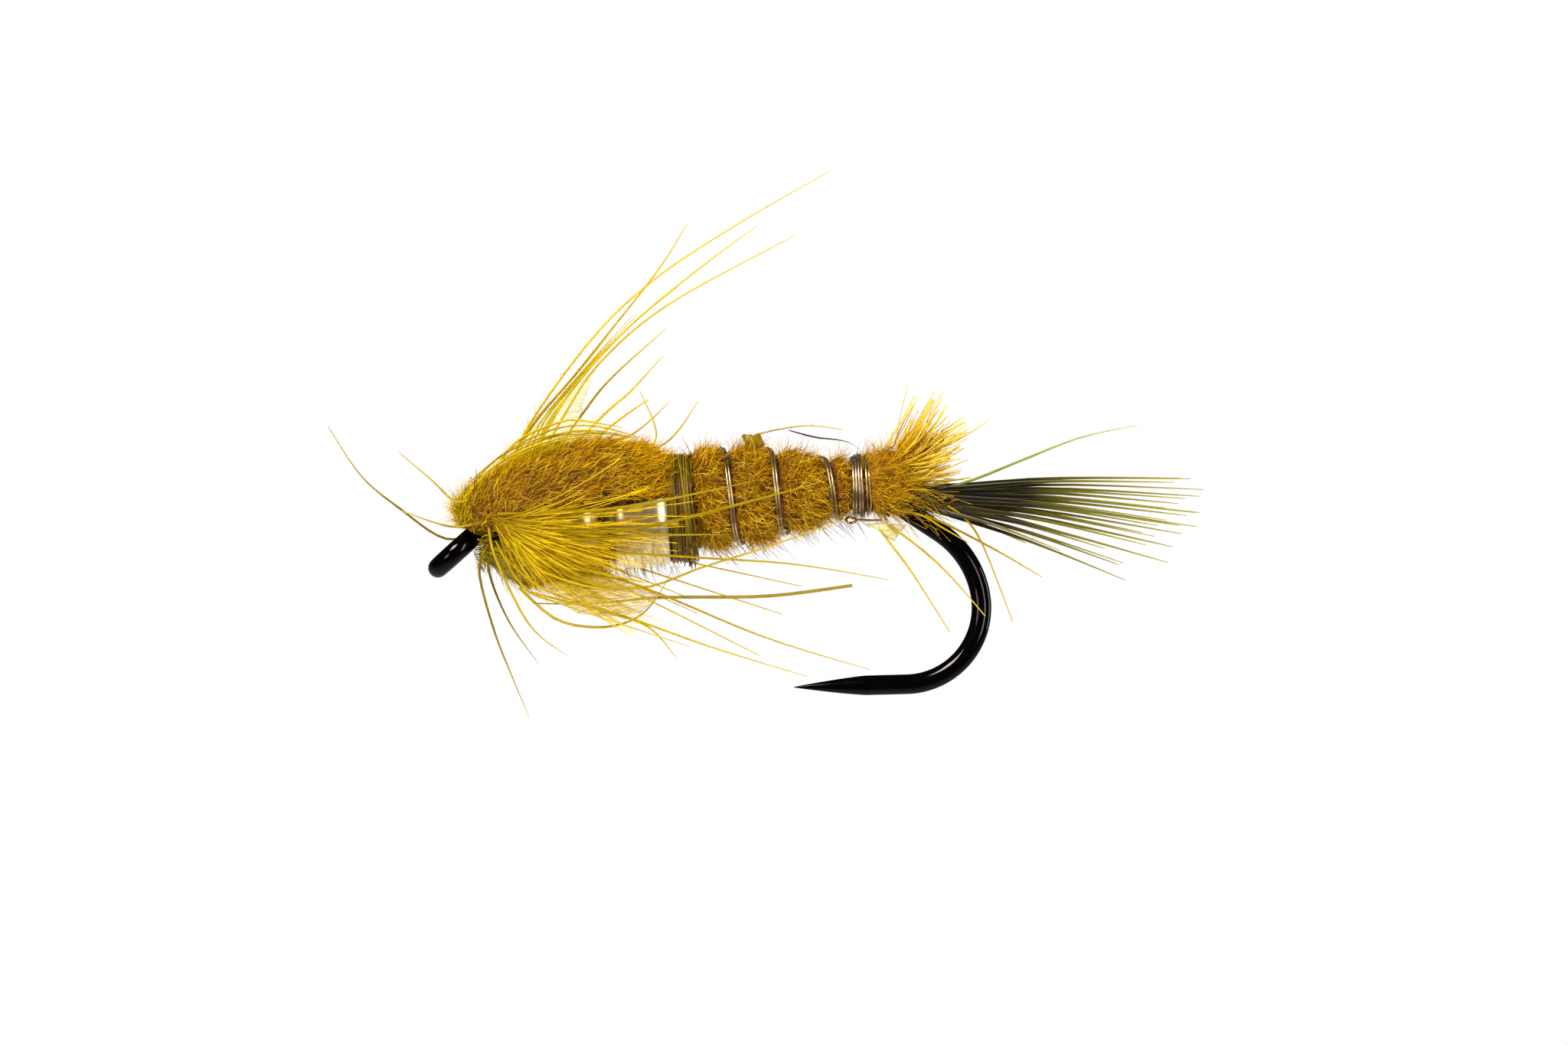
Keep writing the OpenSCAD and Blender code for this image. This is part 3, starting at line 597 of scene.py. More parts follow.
def fur_tree() -> bpy.types.NodeTree:
    """Builds the tree that grows curved fibres on a surface.

    Each vertex of the surface carries the direction that fibres lie in (flow) and how thickly they
    grow there (cover).

    Returns:
        The tree.
    """
    named = [("Density", "Float"), ("Length", "Float"), ("Radius", "Float"), ("Lean", "Float"),
             ("Spread", "Float"), ("Curl", "Float"), ("Seed", "Int"), ("Material", "Material")]
    tree, given, output = start_tree("fibres_on_a_surface", named)
    seed = given.outputs["Seed"]
    thick = {0: given.outputs["Density"], 1: attribute(tree, "cover")}
    density = add(tree, "ShaderNodeMath", thick, operation="MULTIPLY").outputs[0]
    points = add(tree, "GeometryNodeDistributePointsOnFaces",
                 {"Mesh": given.outputs["Geometry"], "Density": density, "Seed": seed})
    flow = attribute(tree, "flow", "FLOAT_VECTOR")
    blend = {"Factor": given.outputs["Lean"], 4: points.outputs["Normal"], 5: flow}
    heading = add(tree, "ShaderNodeMix", blend, data_type="VECTOR").outputs[1]
    stray = add(
        tree, "FunctionNodeRandomValue", {0: (-1, -1, -1), 1: (1, 1, 1), "Seed": seed},
        data_type="FLOAT_VECTOR",
    )
    spread = add(
        tree, "ShaderNodeVectorMath", {0: stray.outputs[0], "Scale": given.outputs["Spread"]},
        operation="SCALE",
    )
    aim = add(tree, "ShaderNodeVectorMath", {0: heading, 1: spread.outputs[0]}, operation="ADD").outputs[0]
    turned = add(tree, "FunctionNodeAlignRotationToVector", {"Vector": aim}, axis="Z").outputs[0]
    roll = add(
        tree, "ShaderNodeCombineXYZ", {0: 0.0, 1: 0.0, 2: chance(tree, 0.0, math.tau, seed)}
    ).outputs[0]
    spun = add(tree, "FunctionNodeEulerToRotation", {0: roll}).outputs[0]
    rotation = add(tree, "FunctionNodeRotateRotation",
                   {"Rotation": turned, "Rotate By": spun}, rotation_space="LOCAL").outputs[0]
    factor = add(tree, "GeometryNodeSplineParameter").outputs[0]
    taper = add(tree, "ShaderNodeMath", {0: factor, 1: -0.7, 2: 1.0}, operation="MULTIPLY_ADD").outputs[0]
    thin = add(tree, "ShaderNodeMath",
               {0: given.outputs["Radius"], 1: given.outputs["Length"]}, operation="DIVIDE").outputs[0]
    triangle = add(tree, "GeometryNodeCurvePrimitiveCircle", {"Resolution": 3, "Radius": thin})
    kinds = add(tree, "GeometryNodeJoinGeometry")
    for bend, back in ((1.0, -0.6), (0.45, 0.5), (-0.8, -1.3)):
        middle = add(
            tree, "ShaderNodeMath", {0: given.outputs["Curl"], 1: bend}, operation="MULTIPLY"
        ).outputs[0]
        end = add(
            tree, "ShaderNodeMath", {0: given.outputs["Curl"], 1: back}, operation="MULTIPLY"
        ).outputs[0]
        arc = add(tree, "GeometryNodeCurveQuadraticBezier", {
            "Resolution": 3, "Start": (0, 0, 0),
            "Middle": add(tree, "ShaderNodeCombineXYZ", {0: middle, 1: 0.0, 2: 0.5}).outputs[0],
            "End": add(tree, "ShaderNodeCombineXYZ", {0: end, 1: middle, 2: 1.0}).outputs[0],
        })
        kept = add(
            tree, "GeometryNodeStoreNamedAttribute",
            {"Geometry": arc.outputs[0], "Name": "along", "Value": factor}, data_type="FLOAT",
            domain="POINT",
        )
        tube = add(
            tree, "GeometryNodeCurveToMesh",
            {
                "Curve": kept.outputs[0], "Profile Curve": triangle.outputs[0], "Scale": taper,
                "Fill Caps": True,
            },
        )
        one = add(tree, "GeometryNodeGeometryToInstance", {0: tube.outputs[0]})
        tree.links.new(one.outputs[0], kinds.inputs[0])
    size = add(
        tree, "ShaderNodeMath", {0: given.outputs["Length"], 1: chance(tree, 0.45, 1.2, seed)},
        operation="MULTIPLY",
    ).outputs[0]
    # Where fibres grow thinly they are also shorter.
    size = add(
        tree, "ShaderNodeMath", {0: size, 1: attribute(tree, "cover")}, operation="MULTIPLY"
    ).outputs[0]
    which = add(tree, "FunctionNodeRandomValue", {4: 0, 5: 2, "Seed": seed}, data_type="INT").outputs[2]
    grown = add(tree, "GeometryNodeInstanceOnPoints", {
        "Points": points.outputs["Points"], "Instance": kinds.outputs[0], "Pick Instance": True,
        "Instance Index": which, "Rotation": rotation, "Scale": size,
    })
    toned = add(tree, "GeometryNodeStoreNamedAttribute",
                {"Geometry": grown.outputs[0], "Name": "tone", "Value": chance(tree, 0.0, 1.0, 11)},
                data_type="FLOAT", domain="INSTANCE")
    finish_tree(tree, toned.outputs[0], given.outputs["Material"], output)
    return tree


class Trees:
    """The two Geometry Nodes trees, each built when it is first used."""

    made: dict[str, bpy.types.NodeTree] = {}

    @classmethod
    def get(cls, build: Callable[[], bpy.types.NodeTree]) -> bpy.types.NodeTree:
        """Returns the tree that a function builds, building it the first time.

        Args:
            build: The function.

        Returns:
            Its tree.
        """
        if build.__name__ not in cls.made:
            cls.made[build.__name__] = build()
        return cls.made[build.__name__]


def add_object(name: str, data: Any) -> bpy.types.Object:
    """Makes an object and links it to the scene.

    Args:
        name: The object's name.
        data: Its mesh, camera or light.

    Returns:
        The object.
    """
    made = bpy.data.objects.new(name, data)
    bpy.context.scene.collection.objects.link(made)
    return made


def as_mesh(made: bmesh.types.BMesh, name: str) -> bpy.types.Mesh:
    """Turns a bmesh into a mesh and frees it.

    Args:
        made: The bmesh.
        name: The mesh's name.

    Returns:
        The mesh.
    """
    mesh = bpy.data.meshes.new(name)
    made.to_mesh(mesh)
    made.free()
    return mesh


def bake(
    name: str, mesh: bpy.types.Mesh, tree: bpy.types.NodeTree, values: dict[str, Any]
) -> bpy.types.Object:
    """Runs a tree on a mesh and returns an object with the plain result.

    Args:
        name: The new object's name.
        mesh: What the tree starts from.
        tree: The Geometry Nodes tree.
        values: The tree's inputs by name.

    Returns:
        The object, with no modifier left on it.
    """
    made = add_object(name, mesh)
    modifier = made.modifiers.new("grow", "NODES")
    modifier.node_group = tree
    for item in tree.interface.items_tree:
        if item.item_type == "SOCKET" and item.in_out == "INPUT" and item.name in values:
            modifier[item.identifier] = values[item.name]
    graph = bpy.context.evaluated_depsgraph_get()
    result = bpy.data.meshes.new_from_object(
        made.evaluated_get(graph), preserve_all_data_layers=True, depsgraph=graph
    )
    made.modifiers.clear()
    made.data = result
    result.name = name
    bpy.data.meshes.remove(mesh)
    return made


# ---- Strands and surfaces ----


def put(mesh: bpy.types.Mesh, name: str, values: Any) -> None:
    """Stores a number or a vector for each vertex of a mesh.

    Args:
        mesh: The mesh.
        name: The attribute's name.
        values: One number or one row of three for each vertex.
    """
    flat = np.asarray(values, np.float32)
    kind, key = ("FLOAT_VECTOR", "vector") if flat.ndim == 2 else ("FLOAT", "value")
    mesh.attributes.new(name, kind, "POINT").data.foreach_set(key, flat.ravel())


@dataclass
class Strands:
    """A tuft of strands, gathered as polylines and turned into one mesh."""

    finish: FibreFinish | MetalFinish
    steps: int = 9
    sides: int = 4
    flatness: float = 1.0
    hair_spacing: float = 0.07
    hair_radius: float = 0.006
    hair_angle: float = 0.75
    seed: int = 1
    paths: list[np.ndarray] = field(default_factory=list)
    radii: list[np.ndarray] = field(default_factory=list)
    downs: list[np.ndarray] = field(default_factory=list)
    tones: list[float] = field(default_factory=list)

    def add(
        self, path: Any, radii: Any, down: Any = (0.0,), tone: float = 0.5, exact: bool = False
    ) -> None:
        """Adds a strand.

        Args:
            path: The points that it passes through, in millimetres.
            radii: Its radius from start to end, as evenly spaced values.
            down: The length of its side hairs from start to end, as evenly spaced values.
            tone: Its place between dark, 0, and light, 1.
            exact: Whether the path already is the final polyline.
        """
        line = np.asarray(path, float) if exact else smooth(path, self.steps)
        self.paths.append(line)
        for values, kept in ((radii, self.radii), (down, self.downs)):
            kept.append(np.interp(np.linspace(0, 1, len(line)), np.linspace(0, 1, len(values)), values))
        self.tones.append(tone)

    def mesh(self, name: str) -> bpy.types.Mesh:
        """Makes the polylines a mesh of edges with the strands' values on its vertices.

        Args:
            name: The finished tuft's name.

        Returns:
            The mesh.
        """
        sizes = [len(p) for p in self.paths]
        starts = np.cumsum([0] + sizes[:-1])
        edges = np.concatenate([
            np.stack([np.arange(s, s + n - 1), np.arange(s + 1, s + n)], 1) for s, n in zip(starts, sizes)
        ])
        made = bpy.data.meshes.new(name + "_lines")
        made.from_pydata((np.concatenate(self.paths) * MM).tolist(), edges.tolist(), [])
        put(made, "radius", np.concatenate(self.radii) * MM)
        put(made, "down", np.concatenate(self.downs) * MM)
        put(made, "tone", np.concatenate([np.full(n, t) for n, t in zip(sizes, self.tones)]))
        put(made, "along", np.concatenate([np.linspace(0, 1, n) for n in sizes]))
        return made

    def build(self, name: str) -> bpy.types.Object:
        """Grows the tuft.

        Args:
            name: The tuft's name.

        Returns:
            Its object.
        """
        return bake(name, self.mesh(name), Trees.get(strand_tree), {
            "Sides": self.sides, "Flatness": self.flatness, "Hair Spacing": self.hair_spacing * MM,
            "Hair Radius": self.hair_radius * MM, "Hair Angle": self.hair_angle, "Seed": self.seed,
            "Material": PALETTE.get(self.finish),
        })


@dataclass
class Fur:
    """Curved fibres that grow on a surface, with their density given per mm2."""

    finish: FibreFinish
    density: float
    length: float
    radius: float = 0.011
    lean: float = 0.85
    spread: float = 0.3
    curl: float = 0.15
    seed: int = 1

    def build(self, name: str, surface: bpy.types.Mesh) -> bpy.types.Object:
        """Grows the fibres on a copy of a surface.

        Args:
            name: The fibres' name.
            surface: The surface.

        Returns:
            The fibres' object.
        """
        return bake(name, surface.copy(), Trees.get(fur_tree), {
            "Density": self.density / MM**2, "Length": self.length * MM, "Radius": self.radius * MM,
            "Lean": self.lean, "Spread": self.spread, "Curl": self.curl, "Seed": self.seed,
            "Material": PALETTE.get(self.finish),
        })


def lathe(
    name: str,
    outline: Any,
    axis_z: float,
    start: float = 0.0,
    sweep: float = 360.0,
    steps: int = 72,
    loop: bool = False,
    capped: bool = True,
    warp: Callable[[Vector, float], Vector] | None = None,
    cover: Callable[[float, float], float] | None = None,
    lift: Callable[[float, float], float] | None = None,
) -> bpy.types.Mesh:
    """Turns an outline around a line along X.

    Args:
        name: The mesh's name.
        outline: The outline as rows of x and radius, in millimetres.
        axis_z: The height of the line.
        start: The angle where the surface starts, measured from straight down towards the far side.
        sweep: How far round it goes.
        steps: How many faces there are round the axis.
        loop: Whether the outline closes on itself, as a wall does.
        capped: Whether a full turn gets end faces.
        warp: Moves each point, given the point and its angle in radians.
        cover: How thickly fibres grow, from the angle and x.
        lift: How far fibres turn up from the outline's own direction, from the angle and x.

    Returns:
        A mesh with flow and cover on its vertices.
    """
    rows = np.asarray(outline, float)
    full = sweep >= 360.0
    turns = steps if full else steps + 1
    made = bmesh.new()
    grid, flows, covers = [], [], []
    slope = np.gradient(rows, axis=0)
    for k in range(turns):
        phi = math.radians(start + sweep * k / steps)
        ring = []
        for j, (x, r) in enumerate(rows):
            place = Vector((x, r * math.sin(phi), axis_z - r * math.cos(phi)))
            place = warp(place, phi) if warp else place
            ring.append(made.verts.new(place * MM))
            along = Vector(
                (slope[j][0], slope[j][1] * math.sin(phi), -slope[j][1] * math.cos(phi))
            ).normalized()
            upward = Vector((0.0, math.cos(phi), math.sin(phi))) * math.copysign(1.0, math.pi - phi)
            flows.append(along + upward * (lift(math.degrees(phi), x) if lift else 0.0))
            covers.append(cover(math.degrees(phi), x) if cover else 1.0)
        grid.append(ring)
    spans = range(turns) if full else range(turns - 1)
    columns = len(rows) if loop else len(rows) - 1
    for k in spans:
        a, b = grid[k], grid[(k + 1) % turns]
        for j in range(columns):
            n = (j + 1) % len(rows)
            made.faces.new((a[j], b[j], b[n], a[n]))
    if loop and not full:
        made.faces.new(grid[0])
        made.faces.new(list(reversed(grid[-1])))
    elif capped and not loop:
        made.faces.new([ring[0] for ring in reversed(grid)])
        made.faces.new([ring[-1] for ring in grid])
    mesh = as_mesh(made, name)
    put(mesh, "flow", flows)
    put(mesh, "cover", covers)
    mesh.shade_smooth()
    return mesh


def ripple(amount: float, size: float, seed: float) -> Callable[[Vector, float], Vector]:
    """Makes a warp that pushes points about by smooth noise.

    Args:
        amount: How far it pushes at most.
        size: How wide its bumps are.
        seed: A shift of the noise.

    Returns:
        The warp.
    """

    def warp(place: Vector, phi: float) -> Vector:
        """Moves a point, phi round the shank, outward or inward."""
        out = Vector((0.0, math.sin(phi), -math.cos(phi)))
        return place + out * amount * noise.noise(place / size + Vector((seed, seed, seed)))

    return warp


def show(
    made: bpy.types.Object | bpy.types.Mesh, slot: Slot, *nodes: str, finish: Any = None
) -> bpy.types.Object:
    """Puts a piece on the fly, logs its slot and hides the CAD nodes that it stands for.

    Args:
        made: The piece, or its mesh.
        slot: The record's slot.
        *nodes: The CAD nodes that it replaces.
        finish: The finish of a mesh that has no material yet.

    Returns:
        The piece.
    """
    if isinstance(made, bpy.types.Mesh):
        mesh = made
        made = add_object(mesh.name, mesh)
        mesh.materials.append(PALETTE.get(finish))
    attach(made, BODY)
    if nodes:
        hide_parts(*nodes)
    log.info("%s: %d faces, slot %s", made.name, len(made.data.polygons), slot.value)
    return made


def dress(frame: dict[str, Any], finish: Any, *nodes: str) -> None:
    """Gives CAD nodes that stay a finish.

    Args:
        frame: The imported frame.
        finish: The finish.
        *nodes: The nodes.
    """
    for node in nodes:
        slots = frame["nodes"][node].material_slots
        for entry in slots:
            entry.material = PALETTE.get(finish)


# ---- Shape data ----

# Heights over the eye and places along the shank that several classes share.
SHANK_Z = 0.68
BEAD_X = (2.97, 4.91)
ABDOMEN_X = 6.235
ABDOMEN_END_X = 10.98
ABDOMEN_Z = 0.88
# The hollow under the wool and the throat, which closes round the front bead and the head.
HEAD_HOLLOW = ((2.395, 1.52), (2.045, 1.2), (1.85, 1.12), (1.6, 0.95), (1.398, 0.62), (1.398, 0.5))


def around(x: float, radius: float, phi: float, axis_z: float = SHANK_Z) -> np.ndarray:
    """Returns the point at x that stands off a line along X by radius, phi from straight down."""
    return np.array([x, radius * math.sin(phi), axis_z - radius * math.cos(phi)])


def turtle(start: Point, heading: float, moves: Sequence[tuple[float, float]], pitch: float) -> np.ndarray:
    """Walks a path of straight runs and arcs in the XZ plane.

    Args:
        start: The x and z of the start.
        heading: The starting direction, in degrees above +X.
        moves: Each move's length or radius, and its turn downward in degrees, 0 for a straight run.
        pitch: The longest step.

    Returns:
        The points, each as x, y and z with y 0.
    """
    x, z = start
    angle = math.radians(heading)
    points = [(x, 0.0, z)]
    for size, turn in moves:
        length = size * math.radians(abs(turn)) if turn else size
        steps = max(2, math.ceil(length / pitch))
        for _ in range(steps):
            half = math.radians(turn) / steps / 2
            step = 2 * size * math.sin(abs(half)) if turn else length / steps
            angle -= half
            x, z = x + step * math.cos(angle), z + step * math.sin(angle)
            angle -= half
            points.append((x, 0.0, z))
    return np.array(points)


def abdomen_radius(x: float) -> float:
    """Gives the abdomen a taper with a bulge between the places that the wire pinches.

    Args:
        x: The place along the shank.

    Returns:
        The abdomen's radius there.
    """
    pinches = [ABDOMEN_X, 7.3, 8.5, 9.9, 10.4, ABDOMEN_END_X]
    u = (x - ABDOMEN_X) / (ABDOMEN_END_X - ABDOMEN_X)
    i = min(max(sum(1 for p in pinches[:-1] if x >= p) - 1, 0), len(pinches) - 2)
    s = min(max((x - pinches[i]) / (pinches[i + 1] - pinches[i]), 0), 1)
    return smooth_at([1.24, 1.26, 1.21, 0.99, 0.78, 0.72], u) + 0.07 * (2 * math.sin(math.pi * s) - 1)


# ---- Hook ----


@dataclass
class Hook:
    """A down-eye hook bent from round wire, with a needle point and no barb."""

    wire_r: float = 0.26
    eye_r: float = 0.62
    eye_angle: float = 37.5
    neck_run: float = 0.2255
    neck_bend_r: float = 0.8
    shank_x: float = 1.158
    bend_x: float = 10.4
    bend: tuple[tuple[float, float], ...] = ((2.2, 38), (1.13, 0), (2.45, 47), (2.0, 98), (1.05, 0))
    point_length: float = 1.9
    tip_r: float = 0.012

    def path(self) -> tuple[np.ndarray, np.ndarray]:
        """Bends the wire: the ring of the eye, the neck, the shank, the bend and the point.

        Returns:
            The wire's middle line and its radius at each point.
        """
        tilt = math.radians(self.eye_angle)
        along = np.array([math.cos(tilt), 0, math.sin(tilt)])
        side = np.array([0.0, 1.0, 0.0])
        ring = [
            (self.eye_r * math.cos(a), self.eye_r * math.sin(a))
            for a in np.radians(np.linspace(24, 316, 40))
        ]
        join = smooth([ring[-2], ring[-1], (0.66, -0.2), (0.86, -0.03), (1.0, 0.0)], 17)[5:13]
        eye = np.array([u * along + v * side for u, v in [*ring, *join]])
        start = (self.eye_r + self.neck_run) * along
        shank = [(self.neck_bend_r, self.eye_angle), (self.bend_x - self.shank_x, 0)]
        moves = [*shank, *self.bend]
        wire = turtle((start[0], start[2]), self.eye_angle, moves, 0.09)
        heading = self.eye_angle - sum(turn for _, turn in moves)
        point = turtle((wire[-1][0], wire[-1][2]), heading, [(self.point_length, 0)], 0.05)
        line = np.concatenate([eye, wire, point[1:]])
        full = np.full(len(eye) + len(wire), self.wire_r)
        # The point is ground with a slight belly, so it stays strong behind the tip.
        fall = self.tip_r + (self.wire_r - self.tip_r) * (1 - np.linspace(0, 1, len(point))[1:] ** 1.25)
        return line, np.concatenate([full, fall])

    def build(self) -> None:
        """Makes the hook."""
        line, radii = self.path()
        wire = Strands(BLACK_NICKEL, sides=32)
        wire.add(line, radii, exact=True)
        show(wire.build("hook_wire"), Slot.HOOK, "hook")


# ---- Beads and thread ----


@dataclass
class Beads:
    """Two round-shouldered metal beads threaded on the shank, with dark dubbing between them."""

    radius: float = 1.5
    length: float = 1.85
    corner: float = 0.6
    bore: float = 0.4
    sink_r: float = 0.75
    sink_depth: float = 0.12
    groove_inset: float = 0.85
    groove_r: float = 1.18
    guard_hairs: int = 150

    def outline(self, x: float) -> list[tuple[float, float]]:
        """Draws a bead's wall, with rounded shoulders and a countersunk bore.

        Args:
            x: The bead's middle.

        Returns:
            The closed outline.
        """
        half = self.length / 2
        turn = [math.radians(a) for a in range(0, 91, 9)]
        flat, top = half - self.corner, self.radius - self.corner
        front = [(x - flat - self.corner * math.cos(a), top + self.corner * math.sin(a)) for a in turn]
        back = [
            (x + flat + self.corner * math.cos(a), top + self.corner * math.sin(a)) for a in reversed(turn)
        ]
        rear_sink = [(x + half, self.sink_r), (x + half - self.sink_depth, self.bore)]
        front_sink = [(x - half + self.sink_depth, self.bore), (x - half, self.sink_r)]
        return front + back + rear_sink + front_sink

    def build(self, frame: dict[str, Any]) -> None:
        """Makes the beads and dresses the dubbing between them.

        Args:
            frame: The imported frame.
        """
        for name, x in zip(("front_bead", "rear_bead"), BEAD_X):
            mesh = lathe(name + "_shell", self.outline(x), SHANK_Z, steps=96, loop=True)
            show(mesh, Slot.BEAD, name, finish=NICKEL_BEAD)
        dress(frame, DARK_CORE, "bead_dubbing")
        places = (BEAD_X[0] + self.groove_inset, sum(BEAD_X) / 2, BEAD_X[1] - self.groove_inset)
        groove = [(x, self.groove_r) for x in places]
        surface = lathe("groove", groove, SHANK_Z, capped=False)
        tufts = Fur(DARK_DUBBING, 260, 0.3, radius=0.007, lean=0.1, spread=0.6, curl=0.2, seed=4)
        show(tufts.build("bead_groove_tufts", surface), Slot.DARK)
        # Dark guard hairs escape under the rear bead and hang behind it.
        rng = np.random.default_rng(21)
        hairs = Strands(DARK_HAIR, steps=5, sides=3)
        for _ in range(self.guard_hairs):
            x = rng.uniform(3.7, 5.8)
            phi = math.radians(rng.uniform(-75, 15))
            root = around(x, self.radius, phi)
            out = np.array([rng.uniform(0.0, 0.35), math.sin(phi) * 0.8, -1.0])
            step = out * rng.uniform(0.15, 0.42)
            hairs.add(
                [root, root + 0.5 * step, root + step + [0.06, 0, 0]], (0.007, 0.003), tone=rng.random()
            )
        show(hairs.build("bead_guard_hairs"), Slot.DARK)


@dataclass
class Thread:
    """Tying thread: turns over the neck and a broad band behind the beads."""

    thread_r: float = 0.026
    band_r: float = 1.385
    band_x: tuple[float, float] = (5.73, 6.24)
    band_turns: int = 70
    band_slant: float = 0.1
    neck_r: float = 0.4
    neck_turns: int = 17
    steps_a_turn: int = 16
    frayed_ends: int = 26

    def band(self) -> bpy.types.Object:
        """Winds the band from side-by-side and crossing turns.

        Returns:
            The turns.
        """
        turns = Strands(THREAD, sides=6, flatness=0.7)
        rng = np.random.default_rng(5)
        for _ in range(self.band_turns):
            x = rng.uniform(*self.band_x)
            slant = rng.uniform(-self.band_slant, self.band_slant)
            r = self.band_r + rng.uniform(-0.07, 0.04)
            phase = rng.uniform(0, math.tau)
            angles = np.linspace(0, math.tau, 49)
            dx = slant * np.sin(angles + phase)
            line = np.stack([x + dx, r * np.sin(angles), SHANK_Z - r * np.cos(angles)], 1)
            turns.add(line, (self.thread_r, self.thread_r), tone=rng.random(), exact=True)
        return turns.build("thread_band_turns")

    def neck(self) -> bpy.types.Object:
        """Winds the turns over the neck of the hook.

        Returns:
            The turns.
        """
        turns = Strands(THREAD, sides=6)
        hook = Hook()
        moves = [(0.1, 0), (hook.neck_bend_r, hook.eye_angle), (0.4, 0)]
        bend = turtle((0.66, 0.505), hook.eye_angle, moves, 0.02)
        steps = self.neck_turns * self.steps_a_turn
        line = []
        for i in range(steps + 1):
            s = i / steps * (len(bend) - 2)
            a, f = int(s), s - int(s)
            middle = bend[a] * (1 - f) + bend[a + 1] * f
            ahead = bend[a + 1] - bend[a]
            ahead = ahead / np.linalg.norm(ahead)
            up = np.cross(ahead, [0.0, 1.0, 0.0])
            turn = math.tau * i / self.steps_a_turn
            out = math.sin(turn) * np.array([0.0, 1.0, 0.0]) + math.cos(turn) * up
            line.append(middle + self.neck_r * out)
        turns.add(line, (self.thread_r, self.thread_r), tone=0.4, exact=True)
        return turns.build("neck_turns")

    def frayed(self) -> bpy.types.Object:
        """Leaves a few broken filaments under the band.

        Returns:
            The filaments.
        """
        ends = Strands(THREAD, steps=5, sides=3)
        rng = np.random.default_rng(8)
        for _ in range(self.frayed_ends):
            x = rng.uniform(5.9, 6.25)
            phi = math.radians(rng.uniform(-70, 30))
            root = around(x, 1.36, phi)
            out = np.array([rng.uniform(-0.05, 0.15), math.sin(phi), -math.cos(phi)])
            end = root + out * rng.uniform(0.1, 0.34)
            ends.add([root, (root + end) / 2 + [0.03, 0, 0], end], (0.02, 0.012), tone=rng.random())
        # One cut end hangs lower than the rest.
        ends.add(
            [(6.15, -0.95, -0.4), (6.17, -1.0, -0.62), (6.22, -1.02, -0.85)], (0.045, 0.035, 0.01), tone=0.7
        )
        return ends.build("band_frayed_ends")

    def build(self, frame: dict[str, Any]) -> None:
        """Makes the turns and dresses the thread under them.

        Args:
            frame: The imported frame.
        """
        dress(frame, THREAD_CORE, "thread_band", "thread_underbody", "head_wraps", "hackle_stem")
        show(self.band(), Slot.THREAD)
        show(self.neck(), Slot.THREAD)
        show(self.frayed(), Slot.THREAD)


# ---- Thorax covers ----


